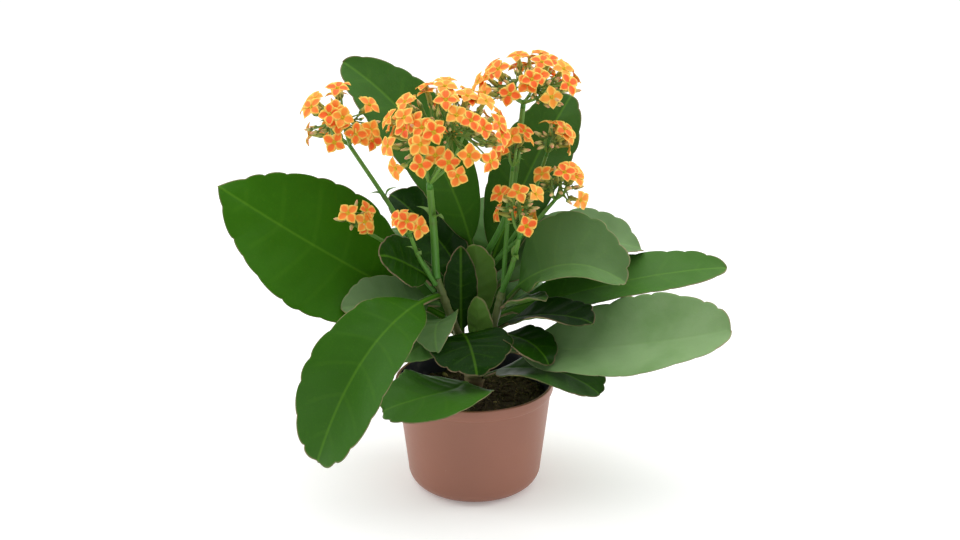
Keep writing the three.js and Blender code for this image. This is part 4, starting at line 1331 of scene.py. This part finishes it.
class KALANCHOE_OT_flower_heads(bpy.types.Operator):
    """Make the flower heads: branches, bracts, calyces, buds and open flowers"""

    bl_idname = "kalanchoe.flower_heads"
    bl_label = "Flower heads"

    def execute(self, context):
        flower = settings_of(context).flower
        finishes = stalk_finish(flower), petal_finish(flower), bud_finish(flower)
        for bloom in BLOOMS:
            self.make_head(bloom, flower, finishes)
        return {"FINISHED"}

    def make_head(self, bloom, flower, finishes):
        chance = random.Random(bloom["name"] + "_head")
        petals, branches, buds = Shape(), Shape(), Shape()
        route = stalk_route(bloom)
        fork, along = route.at(1), route.along(1)
        heart = planted(bloom["heart"])
        reach = bloom["reach"]
        top_radius = STALK_TAPER * bloom["radius"]
        neck = fork + along * NECK_LENGTH
        taper = [top_radius, 0.95 * top_radius, 0.75 * top_radius]
        tube(branches, [fork, (fork + neck) / 2, neck], taper, 12)
        arms = []
        start = fork + (neck - fork) * NECK_SHARE
        for arm in range(ARM_COUNT):
            place = [arm / ARM_COUNT * 360, ARM_LEAN]
            end = heart + leaning(place, reach) * ARM_REACH
            arms.append(end)
            lead = bearing(place[0]) * 0.1 * reach[0] - UP * 0.03 * reach[1]
            stretch(branches, start, end, lead, ARM_RADIUS, 0.8 * ARM_RADIUS)
            if arm % 2 == 0:
                at = start + (end - start) * 0.3
                bract(branches, at, leaning([place[0] + 20, 75], (1, 1)), 0.28 * reach[0] + 3, 0.3)
            bract(branches, end, leaning([place[0] - 30, 70], (1, 1)), 0.12 * reach[0] + 2.5, 0.3, 0.4)

        def hold(base, facing):
            nearest = min(arms, key=lambda point: np.linalg.norm(point - base))
            lead = -facing * 0.12 * np.linalg.norm(base - nearest)
            radii = PEDICEL_RADIUS, 0.8 * PEDICEL_RADIUS
            stretch(branches, nearest, base, lead, *radii, 7, 7, (0.1, 0.7, 0))

        for place in [place for ring in bloom["rings"] for place in ring_places(*ring)]:
            facing = leaning(place, (1, 1))
            tip = heart + leaning(place, reach)
            hold(add_flower(petals, branches, flower, tip, lit(facing), chance), facing)
        for place in bloom["buds"]:
            facing = leaning(place, (1, 1))
            tip = heart + leaning(place, reach)
            hold(add_bud(buds, branches, tip, facing, chance.uniform(0.8, 1.05), chance), facing)
        for young in range(bloom["young"]):
            place = [chance.uniform(0, 360), math.degrees(math.acos(1 - chance.random() * 1.25))]
            facing = leaning(place, (1, 1))
            if young % OPEN_EVERY == 0:
                tip = heart + leaning(place, reach) * chance.uniform(0.86, 0.97)
                hold(add_flower(petals, branches, flower, tip, lit(facing), chance), facing)
                continue
            tip = heart + leaning(place, reach) * chance.uniform(0.66, 0.92)
            hold(add_bud(buds, branches, tip, facing, chance.uniform(0.5, 0.9), chance), facing)
        node = "flower_head_" + bloom["name"]
        green, orange, cream = finishes
        placed(branches.made(node + "_branches", [green]), node)
        placed(petals.made(node + "_petals", [orange]), node)
        placed(buds.made(node + "_buds", [cream]), node)


# ---- Stage ----------------------------------------------------------------------------------


def area_light(name, at, towards, size, power):
    """A rectangular soft light at a place, facing a point, both in metres."""
    data = bpy.data.lights.new(name, "AREA")
    data.shape = "RECTANGLE"
    data.size, data.size_y = size
    data.energy = power
    light = bpy.data.objects.new(name, data)
    at, towards = np.array(at, float), np.array(towards, float)
    back = unit(at - towards)
    side = unit(np.cross(UP if abs(back[2]) < 0.99 else np.array([0, 1.0, 0]), back))
    rise = np.cross(back, side)
    light.matrix_world = Matrix([[side[k], rise[k], back[k], at[k]] for k in range(3)] + [[0, 0, 0, 1]])
    bpy.context.scene.collection.objects.link(light)


class KALANCHOE_OT_stage(bpy.types.Operator):
    """Make the camera, the soft studio light and the pale floor"""

    bl_idname = "kalanchoe.stage"
    bl_label = "Stage"

    def execute(self, context):
        stage = settings_of(context).stage
        scene = context.scene
        scene.view_settings.view_transform = "Standard"
        data = bpy.data.cameras.new("camera")
        data.lens = stage.lens
        data.clip_end = 100
        camera = bpy.data.objects.new("camera", data)
        camera.location = (stage.camera_side, -stage.camera_back, stage.camera_height)
        camera.rotation_euler = (math.pi / 2 - stage.camera_pitch, 0, 0)
        scene.collection.objects.link(camera)
        scene.camera = camera
        world = bpy.data.worlds.new("studio")
        world.use_nodes = True
        world.node_tree.nodes["Background"].inputs["Color"].default_value = (1, 1, 1, 1)
        world.node_tree.nodes["Background"].inputs["Strength"].default_value = stage.ambient
        scene.world = world
        middle = (0, 0, 0.15)
        area_light("overhead", (0, 0.5, 2.3), (0, 0.5, 0), (4.5, 3.5), stage.top_power)
        area_light("left_side", (-1.4, 0.1, 0.6), middle, (0.8, 1.1), stage.side_power)
        area_light("right_side", (1.4, 0.1, 0.6), middle, (0.8, 1.1), stage.side_power)
        floor = Shape()
        turned(floor, [[0, -10], [6000, -10], [6000, 0], [3000, 0], [500, 0], [0, 0]], 48)
        floor.made("floor", [floor_finish(stage)])
        return {"FINISHED"}


class KALANCHOE_PT_panel(bpy.types.Panel):
    """Lists the pieces of the plant and their settings"""

    bl_idname = "KALANCHOE_PT_panel"
    bl_label = "Potted Kalanchoe"
    bl_space_type = "VIEW_3D"
    bl_region_type = "UI"
    bl_category = "Kalanchoe"

    def draw(self, context):
        settings = settings_of(context)
        for operator in OPERATORS:
            self.layout.operator(operator.bl_idname)
        for label in ("pot", "soil", "leaf", "flower", "stage"):
            box = self.layout.box()
            box.label(text=label.capitalize())
            group = getattr(settings, label)
            for key in group.__annotations__:
                box.prop(group, key)


OPERATORS = (
    KALANCHOE_OT_stage, KALANCHOE_OT_pot, KALANCHOE_OT_soil, KALANCHOE_OT_stems, KALANCHOE_OT_leaves,
    KALANCHOE_OT_stalks, KALANCHOE_OT_flower_heads,
)
CLASSES = (
    PotSettings, SoilSettings, LeafSettings, FlowerSettings, StageSettings, KalanchoeSettings,
    *OPERATORS, KALANCHOE_PT_panel,
)


def register():
    for cls in CLASSES:
        bpy.utils.register_class(cls)
    bpy.types.Scene.kalanchoe = PointerProperty(type=KalanchoeSettings)


def unregister():
    del bpy.types.Scene.kalanchoe
    for cls in reversed(CLASSES):
        bpy.utils.unregister_class(cls)


def main():
    register()
    bpy.ops.kalanchoe.stage()
    bpy.ops.kalanchoe.pot()
    bpy.ops.kalanchoe.soil()
    bpy.ops.kalanchoe.stems()
    bpy.ops.kalanchoe.leaves()
    bpy.ops.kalanchoe.stalks()
    bpy.ops.kalanchoe.flower_heads()


if __name__ == "__main__":
    main()
